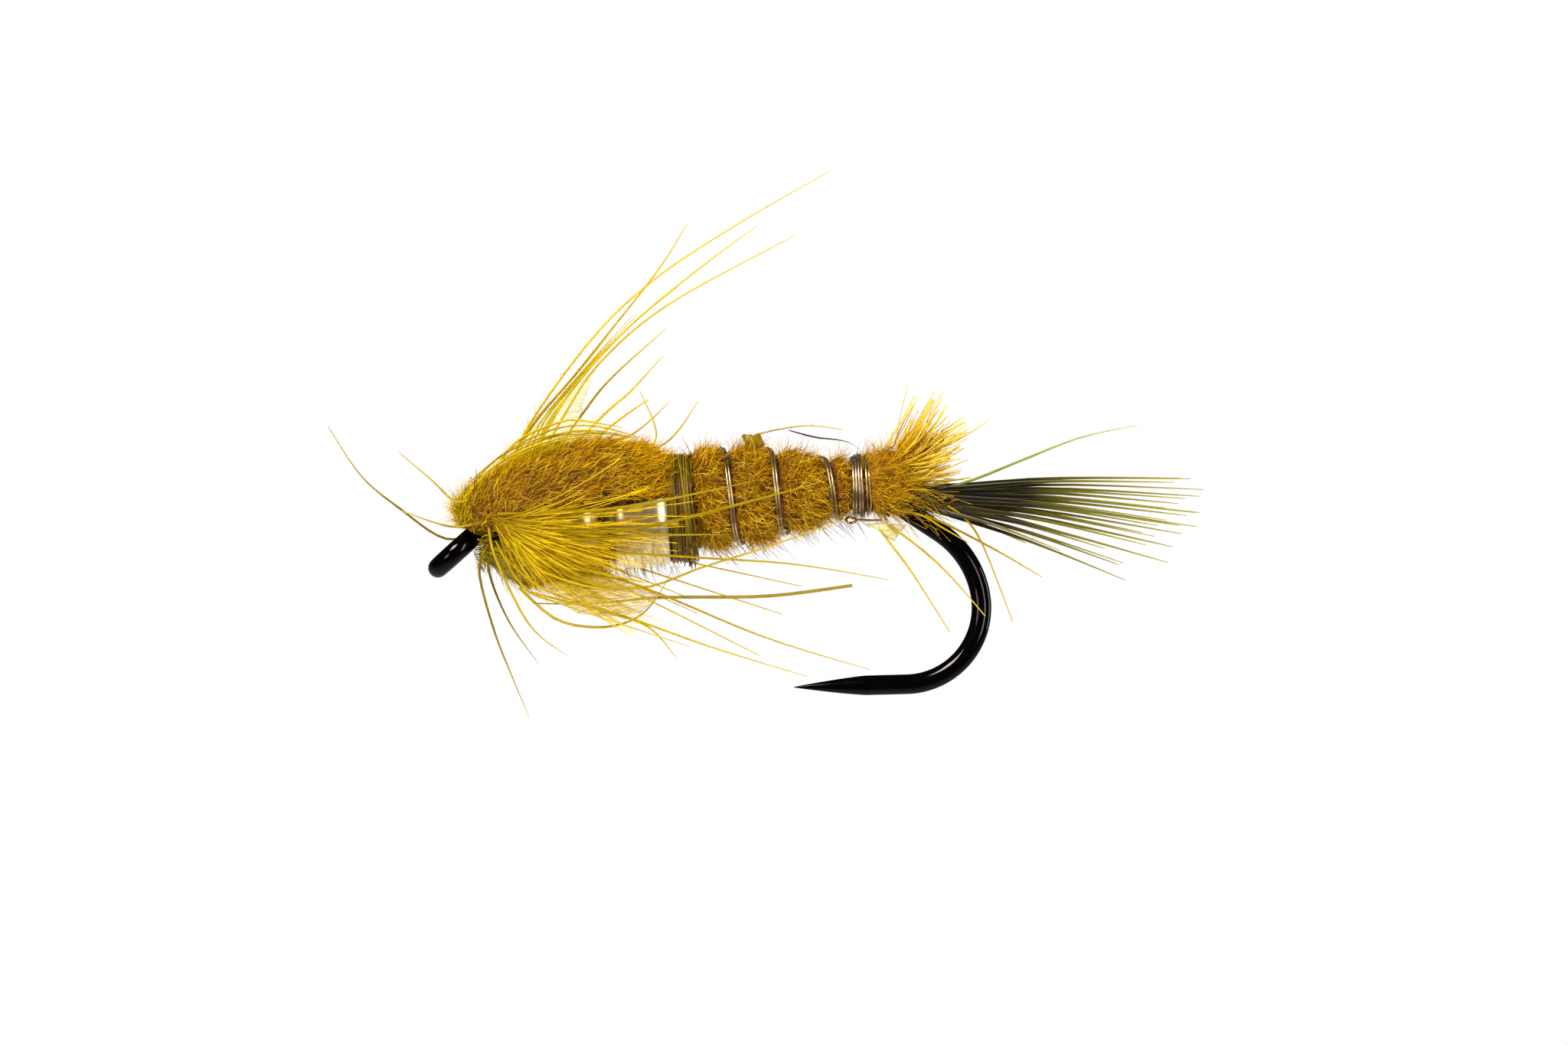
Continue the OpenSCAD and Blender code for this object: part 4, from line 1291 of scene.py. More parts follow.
@dataclass
class WingCase:
    """A hank of wool pulled over the beads, with loose fibres combed back."""

    outline: tuple[Point, ...] = (
        (0.5, 0.46), (0.14, 0.6), (0.45, 1.03), (1.07, 1.43), (1.9, 1.8), (3.1, 2.1), (4.3, 2.09),
        (5.2, 1.84), (5.7, 1.5),
    )
    inside: tuple[Point, ...] = ((5.7, 1.38), (5.5, 1.52), *HEAD_HOLLOW)
    start: float = 82
    sweep: float = 196
    open_share: float = 0.2
    crown_arcs: int = 7

    def outside(self, drop: float) -> np.ndarray:
        """Draws the outer outline.

        Args:
            drop: How far it is sunk, to leave room for the fibres.

        Returns:
            The outline as rows of x and radius.
        """
        line = smooth(self.outline, 26)
        line[:, 1] -= drop
        return line

    def combed(self, phi: float, x: float) -> float:
        """Returns how far the fibres turn up at an angle and x: most at the lower front corner."""
        aside = abs(math.sin(math.radians(phi)))
        return aside * max(0.12, 0.62 - 0.2 * x)

    def drawn(self, place: Vector, phi: float) -> Vector:
        """Ruffles the wool and draws its lower edges up towards the back, so that the beads show.

        Args:
            place: The point.
            phi: Its angle round the shank in radians.

        Returns:
            The moved point.
        """
        rumpled = ripple(0.06, 0.4, 3)(place, phi)
        share = self.open_share * min(max((place.x - 2.0) / 1.4, 0), 1)
        turn = Matrix.Rotation((phi - math.pi) * -share, 3, "X")
        middle = Vector((0, 0, SHANK_Z))
        return turn @ (rumpled - middle) + middle

    def build(self) -> None:
        """Makes the wool's core and its loose fibres."""
        wall = np.concatenate([self.outside(0.2), self.inside])
        core = lathe("wing_case_core", wall, SHANK_Z, self.start, self.sweep, 80, True, warp=self.drawn)
        show(core, Slot.WOOL, "wing_case", finish=WOOL_CORE)
        skin = lathe(
            "wool_skin", self.outside(0.22)[1:], SHANK_Z, self.start - 2, self.sweep + 4, 80, capped=False,
            warp=self.drawn, lift=self.combed,
        )
        # Each row: finish, fibres per mm2, length, radius, lean, spread, curl and seed.
        layers = {
            # The underfur wears the painted shade copy and the glint layer wears the painted glint copy of
            # the wool.
            "wool_underfur": Fur(WOOL_SHADE, 230, 0.4, 0.0085, 0.93, 0.4, 0.25, 1),
            "wool_combed": Fur(WOOL, 300, 0.42, 0.0072, 0.93, 0.45, 0.3, 2),
            "wool_painted_glints": Fur(WOOL_PAINTED_GLINT, 95, 0.38, 0.0055, 0.9, 0.5, 0.3, 3),
        }
        for name, fur in layers.items():
            show(fur.build(name, skin), Slot.WOOL)
        rear = lathe("rear_skin", self.outside(0.2)[-6:], SHANK_Z, self.start, self.sweep, 80, capped=False,
                     warp=self.drawn)
        show(Fur(WOOL, 200, 0.4, 0.008, 0.6, 0.8, 0.4, 8).build("wool_rear_fluff", rear), Slot.WOOL)
        self.halo()
        self.crown()

    def halo(self) -> None:
        """Adds a soft olive fuzz along the crown and over the front."""
        crown = lathe("crown_skin", self.outside(0.16)[1:16], SHANK_Z, 150, 52, 30, capped=False)
        show(Fur(WOOL_OLIVE, 280, 0.45, 0.006, 0.85, 0.45, 0.25, 6).build("crown_fuzz", crown), Slot.WOOL)
        front = lathe(
            "front_skin", self.outside(0.14)[1:7], SHANK_Z, 90, 185, 60, capped=False, lift=self.combed
        )
        show(Fur(WOOL_OLIVE, 330, 0.45, 0.0065, 0.85, 0.55, 0.3, 7).build("front_fuzz", front), Slot.WOOL)
        show(Fur(WOOL_OLIVE, 45, 0.8, 0.0028, 0.5, 0.8, 0.3, 9).build("front_haze", front), Slot.WOOL)

    def crown(self) -> None:
        """Lays a few bright barbs in arcs over the crown."""
        rng = np.random.default_rng(31)
        arcs = Strands(HACKLE, steps=18, hair_spacing=0.05, hair_radius=0.004)
        for _ in range(self.crown_arcs):
            y = rng.uniform(-0.7, 0.5)
            rise = rng.uniform(0.0, 0.24)
            far = rng.uniform(3.4, 5.6)
            near = rng.uniform(0.3, 1.2)
            line = []
            for u in np.linspace(0, 1, 6):
                x = near + (far - near) * u
                r = np.interp(x, *np.array(self.outline)[1:].T)
                z = SHANK_Z + math.sqrt(r * r - y * y) + 0.04 + rise * math.sin(math.pi * u)
                line.append((x, y * (1 - 0.4 * u), z))
            arcs.add(line, (0.016, 0.022, 0.012), (0.1, 0.14, 0.1), rng.uniform(0.2, 0.9))
        show(arcs.build("crown_barbs"), Slot.HACKLE)


@dataclass
class Throat:
    """Webby olive dubbing under the thorax and in front of the front bead."""

    outline: tuple[Point, ...] = (
        (0.9, 0.55), (0.78, 0.95), (1.1, 1.38), (1.6, 1.72), (2.2, 1.86), (2.8, 1.84), (3.4, 1.7),
        (3.8, 1.58),
    )
    inside: tuple[Point, ...] = ((3.8, 1.52), *HEAD_HOLLOW)
    fringe_strands: int = 230

    def build(self, frame: dict[str, Any]) -> None:
        """Makes the dubbing's core and its loose fibres.

        Args:
            frame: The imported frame.
        """
        line = smooth(self.outline, 18)
        line[:, 1] = np.maximum(line[:, 1] - 0.14, 0.5)
        core = lathe("throat_core", np.concatenate([line, self.inside]), SHANK_Z, -50, 100, 48, True,
                     warp=ripple(0.14, 0.5, 9))
        show(core, Slot.OLIVE, "throat_dubbing", finish=OLIVE_CORE)
        skin = lathe(
            "throat_skin", line[1:], SHANK_Z, -58, 116, 48, capped=False, warp=ripple(0.14, 0.5, 9)
        )
        fur = Fur(OLIVE_BARB, 110, 0.55, 0.009, 0.8, 0.45, 0.15, 12)
        show(fur.build("throat_fur", skin), Slot.OLIVE)
        dress(frame, OLIVE_CORE, "head_dubbing")
        # The wool's front edge hangs in dark olive strands around the neck.
        rng = np.random.default_rng(41)
        fringe = Strands(OLIVE_FRINGE, steps=7, hair_spacing=0.06, hair_radius=0.005)
        for _ in range(self.fringe_strands):
            phi = math.radians(rng.uniform(-170, 170))
            top = rng.uniform(0.75, 1.35)
            root = around(rng.uniform(0.5, 1.2), top, phi)
            foot = np.array([rng.uniform(0.62, 1.15), 0.5 * math.sin(phi), 0.42 - 0.55 * math.cos(phi)])
            fringe.add([root, (root + foot) / 2 + [-0.12, 0.12 * math.sin(phi), 0], foot], (0.014, 0.01),
                       (0.12, 0.06), rng.random())
        show(fringe.build("neck_fringe"), Slot.OLIVE)


# ---- Abdomen ----


@dataclass
class Abdomen:
    """A tapered body of spun dubbing, ribbed with doubled wire, with a cut quill on its back."""

    half_turns: tuple[float, ...] = (
        10.84, 10.88, 10.66, 10.7, 10.48, 10.54, 10.03, 9.76, 8.61, 8.38, 7.42, 7.15, 6.34,
    )
    wire_r: float = 0.032
    wire_shift: float = 0.036
    steps_a_half_turn: int = 16
    loop_r: float = 0.13
    low_hairs: int = 160
    back_hairs: int = 70
    quill_foot: tuple[float, float, float] = (8.16, 0.0, 1.85)
    quill_r: float = 0.2
    quill_length: float = 0.62
    quill_lean: float = -22

    def wire_x(self, u: float) -> float:
        """Returns where the wire is along the shank, u being its place from 0 to 1."""
        return smooth_at(self.half_turns, u)

    def clear_of_wire(self, phi: float, x: float) -> float:
        """Thins the fur where the wire presses it down.

        Args:
            phi: The angle round the abdomen in degrees.
            x: The place along it.

        Returns:
            How thickly the fur grows, from 0 to 1.
        """
        halves = len(self.half_turns) - 1
        turns = [(((-phi) % 360) / 180 + 2 * k) / halves for k in range(halves // 2)]
        gaps = [x - self.wire_x(u) for u in turns]
        if any(abs(gap) < 0.1 for gap in gaps):
            return 0.22
        return 0.55 if any(-0.26 < gap < 0 for gap in gaps) else 1.0

    def skin(self, drop: float, capped: bool) -> bpy.types.Mesh:
        """Makes the abdomen's surface.

        Args:
            drop: How far it is sunk, to leave room for the fur.
            capped: Whether its ends are closed.

        Returns:
            The mesh.
        """
        xs = np.linspace(ABDOMEN_X, ABDOMEN_END_X, 60)
        line = [(x, abdomen_radius(x) - drop) for x in xs]
        return lathe("abdomen_core", line, ABDOMEN_Z, steps=90, capped=capped, warp=ripple(0.09, 0.3, 5),
                     cover=self.clear_of_wire)

    def wires(self) -> None:
        """Winds the two strands of wire, its bent loop and its loose end."""
        halves = len(self.half_turns) - 1
        steps = halves * self.steps_a_half_turn
        for name, shift in (("front_strand", -self.wire_shift), ("rear_strand", self.wire_shift)):
            line = []
            for i in range(steps + 1):
                u = i / steps
                phase = math.pi * halves * u
                x = self.wire_x(u) + shift
                r = abdomen_radius(x) + self.wire_r
                line.append((x, -r * math.sin(phase), ABDOMEN_Z - r * math.cos(phase)))
            strand = Strands(RIB_WIRE, sides=10)
            strand.add(line, (self.wire_r, self.wire_r), exact=True)
            show(strand.build("rib_" + name), Slot.WIRE, "rib_wire_" + name)
        turn = Matrix.Translation((10.36, -0.25, 0.02)) @ Matrix.Rotation(math.radians(12), 4, "Z")
        turn = turn @ Matrix.Rotation(math.radians(35), 4, "X")
        angles = np.linspace(0.3, math.tau, 24)
        ring = [turn @ Vector((self.loop_r * math.cos(a), self.loop_r * math.sin(a), 0)) for a in angles]
        loop = Strands(COPPER_WIRE, sides=10)
        loop.add(ring, (self.wire_r, self.wire_r), exact=True)
        show(loop.build("rib_loop"), Slot.WIRE, "rib_wire_loop")
        end = Strands(RIB_WIRE, steps=12, sides=10)
        end.add(
            [(10.5, -0.28, 0.02), (10.8, -0.26, -0.02), (11.15, -0.2, -0.05)], (self.wire_r, self.wire_r)
        )
        show(end.build("rib_end"), Slot.WIRE, "rib_wire_end")

    def quill(self) -> None:
        """Makes the cut end of the hollow quill, with a torn rim."""
        r, length = self.quill_r, self.quill_length

        def torn(place: Vector, phi: float) -> Vector:
            """Tears the rim and pinches the tube a little.

            Args:
                place: The point on the upright tube.
                phi: Its angle round the tube in radians.

            Returns:
                The moved point.
            """
            share = max(place.x, 0) / length
            lean = 0.09 * noise.noise(Vector((math.sin(phi), math.cos(phi), 2.0)) * 2.5)
            cut = 0.4 * place.z
            x = place.x + (lean + cut) * share
            return Vector((x, place.y * (1 - 0.12 * share), place.z * (1 + 0.1 * share)))

        wall = [(-0.25, r), (0.1, r * 0.97), (0.35, r * 1.02), (length, r * 1.08), (length, r * 0.8),
                (0.3, r * 0.7), (-0.25, r * 0.6)]
        mesh = lathe("quill_tube", wall, 0.0, steps=40, loop=True, warp=torn)
        stand = Matrix.Rotation(math.radians(self.quill_lean - 90), 4, "Y")
        mesh.transform(Matrix.Translation(Vector(self.quill_foot) * MM) @ stand)
        show(mesh, Slot.QUILL, "quill_stub", finish=QUILL)

    def fringe(self) -> None:
        """Adds fine dark hairs that hang back under the body and stand off its back."""
        rng = np.random.default_rng(51)
        hairs = Strands(DARK_HAIR, steps=5, sides=3)
        for k in range(self.low_hairs + self.back_hairs):
            low = k < self.low_hairs
            x = rng.uniform(5.9, 10.6)
            phi = math.radians(rng.uniform(-60, 35) if low else rng.uniform(120, 240))
            r = abdomen_radius(max(x, ABDOMEN_X)) - 0.02
            root = around(x, r, phi, ABDOMEN_Z)
            reach = rng.uniform(0.3, 0.75) if low else rng.uniform(0.12, 0.4)
            out = np.array([rng.uniform(0.2, 0.9), math.sin(phi), -math.cos(phi)])
            step = out * reach / np.linalg.norm(out)
            tip = root + step + [0.12 * reach, 0, 0]
            hairs.add([root, root + 0.5 * step, tip], (0.008, 0.003), tone=rng.random())
        show(hairs.build("abdomen_guard_hairs"), Slot.DARK)

    def build(self) -> None:
        """Makes the body, its fur, the wire and the quill."""
        show(self.skin(0.1, True), Slot.BROWN, "abdomen", finish=DUBBING_CORE)
        surface = self.skin(0.08, False)
        # Each row: finish, fibres per mm2, length, radius, lean, spread, curl and seed.
        layers = {
            # The underfur wears the painted shade copy and the curls wear the painted glint copy of the
            # dubbing.
            "abdomen_underfur": Fur(DUBBING_SHADE, 190, 0.3, 0.009, 0.8, 0.6, 0.55, 14),
            "abdomen_fur": Fur(DUBBING, 210, 0.36, 0.0078, 0.82, 0.66, 0.65, 15),
            "abdomen_curls": Fur(DUBBING_PAINTED_GLINT, 70, 0.38, 0.006, 0.8, 0.66, 0.7, 16),
        }
        for name, fur in layers.items():
            show(fur.build(name, surface), Slot.BROWN)
        self.wires()
        self.quill()
        self.fringe()


# ---- Tag and tail ----


@dataclass
class Tag:
    """A tuft of golden yarn ends behind the abdomen, cut off unevenly."""

    outline: tuple[Point, ...] = (
        (-0.25, 0.6), (0.1, 0.72), (0.45, 0.7), (0.8, 0.52), (1.1, 0.3), (1.3, 0.05)
    )
    tilt: float = 20
    ends_a_tip: int = 18
    tips: tuple[Point, ...] = (
        (12.15, -0.2, 3.3), (12.8, 0.3, 3.1), (12.95, -0.5, 3.0), (12.9, 0.1, 2.55), (13.45, -0.3, 2.25),
        (14.05, 0.2, 2.3), (13.45, 0.4, 1.85), (13.2, -0.6, 1.4), (13.4, 0.0, 1.1), (12.6, 0.6, 2.7),
        (13.0, -0.1, 1.65), (12.3, 0.5, 2.45),
    )
    soft_tips: tuple[Point, ...] = (
        (12.95, 0.2, 1.95), (13.05, -0.2, 1.55), (13.1, 0.3, 1.2), (13.1, -0.1, 0.95), (12.85, -0.4, 1.3),
        (12.7, 0.1, 1.8),
    )

    def placed(self, mesh: bpy.types.Mesh) -> bpy.types.Mesh:
        """Tilts a mesh made along +X and sets it behind the abdomen.

        Args:
            mesh: The mesh, which is changed.

        Returns:
            The same mesh.
        """
        turn = Matrix.Rotation(math.radians(-self.tilt), 4, "Y")
        mesh.transform(Matrix.Translation(Vector((ABDOMEN_END_X, 0, ABDOMEN_Z)) * MM) @ turn)
        return mesh

    def build(self) -> None:
        """Makes the tag's core, its fuzz and its loose ends."""
        line = smooth(self.outline, 16)
        core = self.placed(lathe("tag_core", line, 0.0, steps=60, warp=ripple(0.16, 0.35, 7)))
        show(core, Slot.TAG, "tag_yarn", finish=TAG_CORE)
        skin = self.placed(lathe("tag_skin", line, 0.0, steps=60, capped=False, warp=ripple(0.16, 0.35, 7)))
        fuzz = Fur(TAG_FUZZ, 330, 0.62, 0.009, 0.8, 0.75, 0.35, 17)
        show(fuzz.build("tag_fuzz", skin), Slot.TAG)
        ends = Strands(TAG_YARN, steps=8, sides=5, hair_spacing=0.06, hair_radius=0.005)
        rng = np.random.default_rng(61)
        for number, tip in enumerate([*self.tips, *self.soft_tips]):
            # The first tip is one long yarn end that stands alone.
            for k in range(self.ends_a_tip if number else 1):
                stray = rng.normal(0, 0.2, 3)
                stop = np.array(tip) + stray * (0.4 if k == 0 else 1.0)
                foot = np.array([11.15 + 0.05 * tip[0], 0.5 * tip[1], 0.9 + 0.25 * tip[2]]) + 0.7 * stray
                stop = foot + (stop - foot) * (1.0 if k == 0 else rng.uniform(0.4, 0.98))
                middle = (foot + stop) / 2 + [0, 0, -0.08] + rng.normal(0, 0.05, 3)
                thick = rng.uniform(0.01, 0.021)
                ends.add(
                    [foot, middle, stop], (thick, thick * 1.1, thick), (0.07, 0.05, 0.03), rng.random()
                )
        show(ends.build("tag_yarn_ends"), Slot.TAG, "tag_fibres")
        self.root_hairs()

    def root_hairs(self) -> None:
        """Lets fine hairs stray from under the tag over the roots of the tail and the start of the bend."""
        rng = np.random.default_rng(62)
        kinds = (
            ("tail_root_gold_hairs", TAG_FUZZ, 110, Slot.TAG),
            ("tail_root_dark_hairs", DARK_HAIR, 120, Slot.DARK),
        )
        for name, finish, count, slot in kinds:
            hairs = Strands(finish, steps=6, sides=3)
            for _ in range(count):
                root = np.array([rng.uniform(11.1, 12.4), rng.uniform(-0.6, 0.3), rng.uniform(0.15, 0.85)])
                aim = math.radians(rng.uniform(-62, 12))
                step = rng.uniform(0.35, 1.35) * np.array(
                    [math.cos(aim), rng.uniform(-0.5, 0.1), math.sin(aim)]
                )
                sag = np.array([0, 0, rng.uniform(-0.1, 0.12)])
                hairs.add([root, root + 0.5 * step + sag, root + step], (0.009, 0.004), tone=rng.random())
            show(hairs.build(name), slot)


@dataclass
class Tail:
    """Flat barbs bound in at the start of the bend, fanned down."""

    count: int = 28
    foot: tuple[float, float, float] = (11.05, 0.0, 1.12)
    butt_length: float = 1.4
    butt_tilt: float = 27
    fan: tuple[tuple[float, float], ...] = ((0, 3), (0.12, 4.2), (0.16, 6.5), (0.6, 13), (0.8, 19), (1, 25))

    def route(self, i: int) -> list[np.ndarray]:
        """Lays out one barb of the fan.

        Args:
            i: The barb's number from the top.

        Returns:
            The points that it passes through.
        """
        u = i / (self.count - 1)
        fall = float(np.interp(u, *np.transpose(self.fan)))
        swing = math.radians(1.2 * math.sin(math.radians(i * 137)) - fall)
        reach = 7 - 0.6 * u - 2.4 * u**4 + (0.4 + 0.9 * u * u) * math.sin(math.radians(i * 211))
        y = math.sin(math.radians(i * 97))
        tilt = math.radians(self.butt_tilt)
        base = np.array(self.foot) + self.butt_length * np.array([math.cos(tilt), 0, -math.sin(tilt)])
        offset = np.array([0, 0.2 * y, 0.28 * (1 - 2 * u)])
        start = base + offset
        tip = start + [reach * math.cos(swing), 1.1 * y, reach * math.sin(swing)]
        return [np.array(self.foot) + 0.8 * offset, start, start + 0.5 * (tip - start) + [0, 0, 0.1], tip]

    def build(self) -> None:
        """Makes the tail and its one pale stray barb."""
        barbs = Strands(
            TAIL, steps=14, sides=8, flatness=0.3, hair_spacing=0.08, hair_radius=0.006, hair_angle=0.35
        )
        rng = np.random.default_rng(71)
        for i in range(self.count):
            wide = rng.uniform(0.05, 0.08)
            radii = (0.045, 0.05, wide, wide * 0.9, wide * 0.6, wide * 0.35, 0.01)
            barbs.add(self.route(i), radii, (0, 0, 0.07, 0.07, 0.06, 0.05, 0.03), rng.random())
        show(barbs.build("tail_barbs"), Slot.TAIL, "tail_fibres", "tail_butts")
        stray = Strands(PALE_GREEN, steps=16, hair_spacing=0.07, hair_radius=0.005)
        stray.add(
            [
                (12.3, -0.1, 0.55), (13.55, -0.15, 0.8), (15, -0.2, 1.25), (16.5, -0.2, 1.7),
                (18, -0.25, 1.9),
            ],
            (0.042, 0.036, 0.026, 0.01), (0.0, 0.05, 0.06, 0.04),
        )
        show(stray.build("tail_stray_barb"), Slot.TAIL, "tail_stray_fibre")


# ---- Hackle ----


@dataclass
class Hackle:
    """A soft hackle wound at the head and swept back down both sides."""

    root: tuple[float, float, float] = (1.16, -1.42, 0.72)
    far_count: int = 14
    low_count: int = 64
    soft_counts: tuple[tuple[Side, int, int], ...] = ((Side.NEAR, 340, 91), (Side.FAR, 220, 92))
    dull: tuple[int, ...] = (6, 7, 8)
    near: tuple[tuple[Point, ...], ...] = (
        ((1.2, -1.4, 0.7), (3, -1.8, -0.1), (6.05, -1.9, -0.6), (8.75, -1.8, -1), (11.2, -1.6, -1.6)),
        ((1.2, -1.4, 0.6), (3, -1.7, -0.45), (5.25, -1.8, -1.5), (7.9, -1.7, -2.85), (10.55, -1.5, -3.9)),
        ((1.1, -1, 0), (2.25, -1.3, -1.15), (4.5, -1.5, -2.1), (6.5, -1.4, -3), (8.9, -1.2, -3.95)),
        ((1.1, -1.5, 0.2), (1.75, -2, -1.05), (2.8, -2.4, -1.6), (5.9, -3, -2.9)),
        (
            (1.3, -1.4, 0.2), (3.2, -1.7, -1), (4.85, -1.8, -1.3), (6.4, -1.9, -0.9), (8.35, -1.8, -0.45),
            (10.15, -1.6, 0.05),
        ),
        ((1.9, -1.2, -1.2), (3.9, -1.5, -1.9), (4.9, -1.5, -2.35), (5.55, -1.6, -3.2)),
        ((1.2, -1.5, 0.9), (3, -2.2, 0.8), (5, -2.5, 0.85), (8.05, -2.7, 1.25)),
        ((1.2, -1.5, 0.8), (3, -2.2, 0.3), (4.95, -2.5, 0.25), (8, -2.8, 0.75), (9.8, -3, 1.1)),
        ((1.2, -1.5, 0.6), (3, -2.1, 0.1), (4.9, -2.4, 0.05), (7.1, -2.6, -0.1)),
        ((1.2, -1.45, 0.5), (2.2, -1.7, -0.2), (3.6, -1.85, -0.8), (5, -1.8, -1.2)),
        ((1.2, -1.45, 0.4), (2, -1.65, -0.5), (3.2, -1.75, -1.1), (4.6, -1.7, -1.4)),
    )
    throat: tuple[tuple[Point, ...], ...] = (
        (
            (0.95, -0.8, 0.2), (0.6, -0.95, -0.5), (0.85, -0.95, -2.05), (1.25, -0.85, -3.4),
            (1.6, -0.75, -4.45),
        ),
        (
            (0.95, -1.2, 0.55), (1.05, -1.4, -0.2), (1.6, -1.5, -1.65), (2.05, -1.45, -2.35),
            (2.7, -1.35, -2.9),
        ),
        ((0.9, 0.9, 0.3), (0.8, 1.2, -0.6), (1.2, 1.3, -1.9), (1.9, 1.3, -3.1)),
        (
            (1.6, -1.1, -1.05), (2.5, -1.1, -1.95), (3.6, -1.1, -2.25), (4.55, -1.2, -2.1),
            (5.2, -1.35, -1.55), (5.75, -1.6, -0.65),
        ),
    )
    cut: tuple[Point, ...] = (
        (2, -1, -1.5), (3.5, -1.3, -1.62), (5.25, -1.3, -1.6), (8, -1.2, -1.78), (10.25, -1, -1.68)
    )

    def cloth(self, x: float, z: float, lift: float, side: Side) -> float:
        """Finds the side of the thorax.

        Args:
            x: The place along the shank.
            z: The height.
            lift: How far off the surface to stay.
            side: The side of the fly.

        Returns:
            Y just off the side of the thorax.
        """
        r = float(np.interp(x, [0.9, 1.9, 3.1, 4.3, 5.3, 5.9], [1.3, 1.7, 1.85, 1.8, 1.65, 1.45])) + lift
        return side.value * math.sqrt(max(r * r - (z - SHANK_Z) ** 2, 0.35 + lift))

    def swept(self, side: Side, count: int, seed: int) -> list[tuple[list[Point], float]]:
        """Lays out barbs that fan back and down from the root over one side.

        Args:
            side: The side of the fly.
            count: How many barbs there are.
            seed: The seed of their directions.

        Returns:
            Each barb's points and its length.
        """
        rng = np.random.default_rng(seed)
        routes = []
        for _ in range(count):
            first = math.radians(rng.triangular(-80, -24, 12))
            turn = math.radians(rng.uniform(-6, 20))
            reach = rng.uniform(1.4, 5.6) * (1.0 - 0.55 * abs(math.sin(first)))
            lift = rng.uniform(0.03, 0.42)
            x, z = self.root[0] + rng.uniform(-0.12, 0.12), self.root[2] + rng.uniform(-0.16, 0.12)
            line = [(x, side.value * 1.38, z)]
            for s in range(1, 6):
                heading = first + turn * s / 5
                x += reach / 5 * math.cos(heading)
                z += reach / 5 * math.sin(heading)
                line.append((x, self.cloth(x, z, 0.08 + lift * s / 5, side), z))
            routes.append((line, reach))
        return routes

    def far_route(self, i: int) -> list[np.ndarray]:
        """Lays out one long barb on the far side.

        Args:
            i: The barb's number from the top.

        Returns:
            The points that it passes through.
        """
        u = i / (self.far_count - 1)
        swing = math.radians(8 - 38 * u)
        reach = 6 + 2.2 * math.sin(math.radians(i * 149))
        foot = np.array([1.2, 1.45, 0.7 - 0.3 * u])
        out = 0.9 + 0.6 * math.sin(math.radians(i * 83))
        tip = foot + [reach * math.cos(swing), out, reach * math.sin(swing)]
        return [foot, foot + 0.35 * (tip - foot) + [0, 0.35, 0.1], tip]

    def long_barbs(self) -> None:
        """Makes the long barbs on both sides."""
        rng = np.random.default_rng(81)
        near = Strands(HACKLE_LONG, steps=20, sides=5, flatness=0.6, hair_spacing=0.06, hair_radius=0.0045)
        dull = Strands(OLIVE_GOLD, steps=20, sides=5, flatness=0.6, hair_spacing=0.06, hair_radius=0.0045)
        for number, line in enumerate(self.near):
            tuft = dull if number in self.dull else near
            wide = 1.4 if tuft is dull else 0.9
            tuft.add(line, (0.03 * wide, 0.036 * wide, 0.03 * wide, 0.008), (0.16, 0.2, 0.12, 0.06, 0.02),
                     rng.uniform(0.2, 0.8))
        show(near.build("near_barbs"), Slot.HACKLE, "near_hackle")
        show(dull.build("near_dull_barbs"), Slot.HACKLE)
        far = Strands(HACKLE, steps=16, sides=4, hair_spacing=0.07, hair_radius=0.005, seed=3)
        for i in range(self.far_count):
            far.add(self.far_route(i), (0.028, 0.028, 0.01), (0.2, 0.14, 0.05), rng.uniform(0.2, 0.8))
        show(far.build("far_barbs"), Slot.HACKLE, "far_hackle")
        throat = Strands(OLIVE_BARB, steps=22, sides=5, hair_spacing=0.06, hair_radius=0.005, seed=4)
        for line in self.throat:
            throat.add(line, (0.04, 0.036, 0.024, 0.006), (0.12, 0.1, 0.06, 0.03), rng.uniform(0.2, 0.8))
        show(throat.build("throat_barbs"), Slot.HACKLE, "throat_fibres")
        blunt = Strands(CUT_BARB, steps=22, sides=6, flatness=0.5)
        blunt.add(self.cut, (0.02, 0.024, 0.045, 0.05, 0.048), (0.0,), 0.5)
        show(blunt.build("cut_barb"), Slot.HACKLE, "cut_fibre")

    def down(self) -> None:
        """Makes the dense soft barbs over the sides of the thorax."""
        low = Strands(
            HACKLE_SOFT, steps=12, sides=3, hair_spacing=0.05, hair_radius=0.004, hair_angle=0.5, seed=93
        )
        rng = np.random.default_rng(93)
        for _ in range(self.low_count):
            aim = math.radians(rng.uniform(-46, -25))
            reach = rng.uniform(2.6, 4.8)
            x, z = self.root[0] + 0.1, self.root[2] - 0.2
            line = []
            for t in np.linspace(0, 1, 6):
                sag = 0.25 * math.sin(math.pi * t)
                line.append((x + reach * t * math.cos(aim), z + reach * t * math.sin(aim) - sag))
            out = rng.uniform(0.1, 0.3)
            low.add(
                [(a, self.cloth(a, max(b, -0.9), out, Side.NEAR), b) for a, b in line],
                (0.014, 0.018, 0.006), (0.05, 0.22, 0.2, 0.1), rng.random(),
            )
        show(low.build("low_soft_barbs"), Slot.HACKLE)
        for side, count, seed in self.soft_counts:
            soft = Strands(
                HACKLE_SOFT, steps=10, sides=3, hair_spacing=0.075, hair_radius=0.0034, hair_angle=0.6,
                seed=seed,
            )
            rng = np.random.default_rng(seed + 5)
            for line, reach in self.swept(side, count, seed):
                thick = rng.uniform(0.006, 0.016)
                hair = rng.uniform(0.14, 0.3)
                soft.add(line, (thick, thick, 0.006), (0.05, hair, hair, hair * 0.6), rng.random())
            show(soft.build(side.name.lower() + "_soft_barbs"), Slot.HACKLE)

    def web(self) -> None:
        """Makes the fold of matted web beside the rear bead."""
        edge = [
            (2.3, -1.0), (3.2, -0.9), (3.92, -0.85), (4.6, -1.2), (5.21, -1.52), (4.95, -1.78),
            (4.73, -1.94), (3.9, -2.0), (3.1, -1.85), (2.6, -1.5),
        ]
        film = sheet("web_fold", edge, -1.6, 0.03, 0.12)
        show(film, Slot.WEB, "hackle_web", finish=FOLD_WEB)

    def build(self) -> None:
        """Makes the hackle."""
        self.long_barbs()
        self.down()
        self.web()


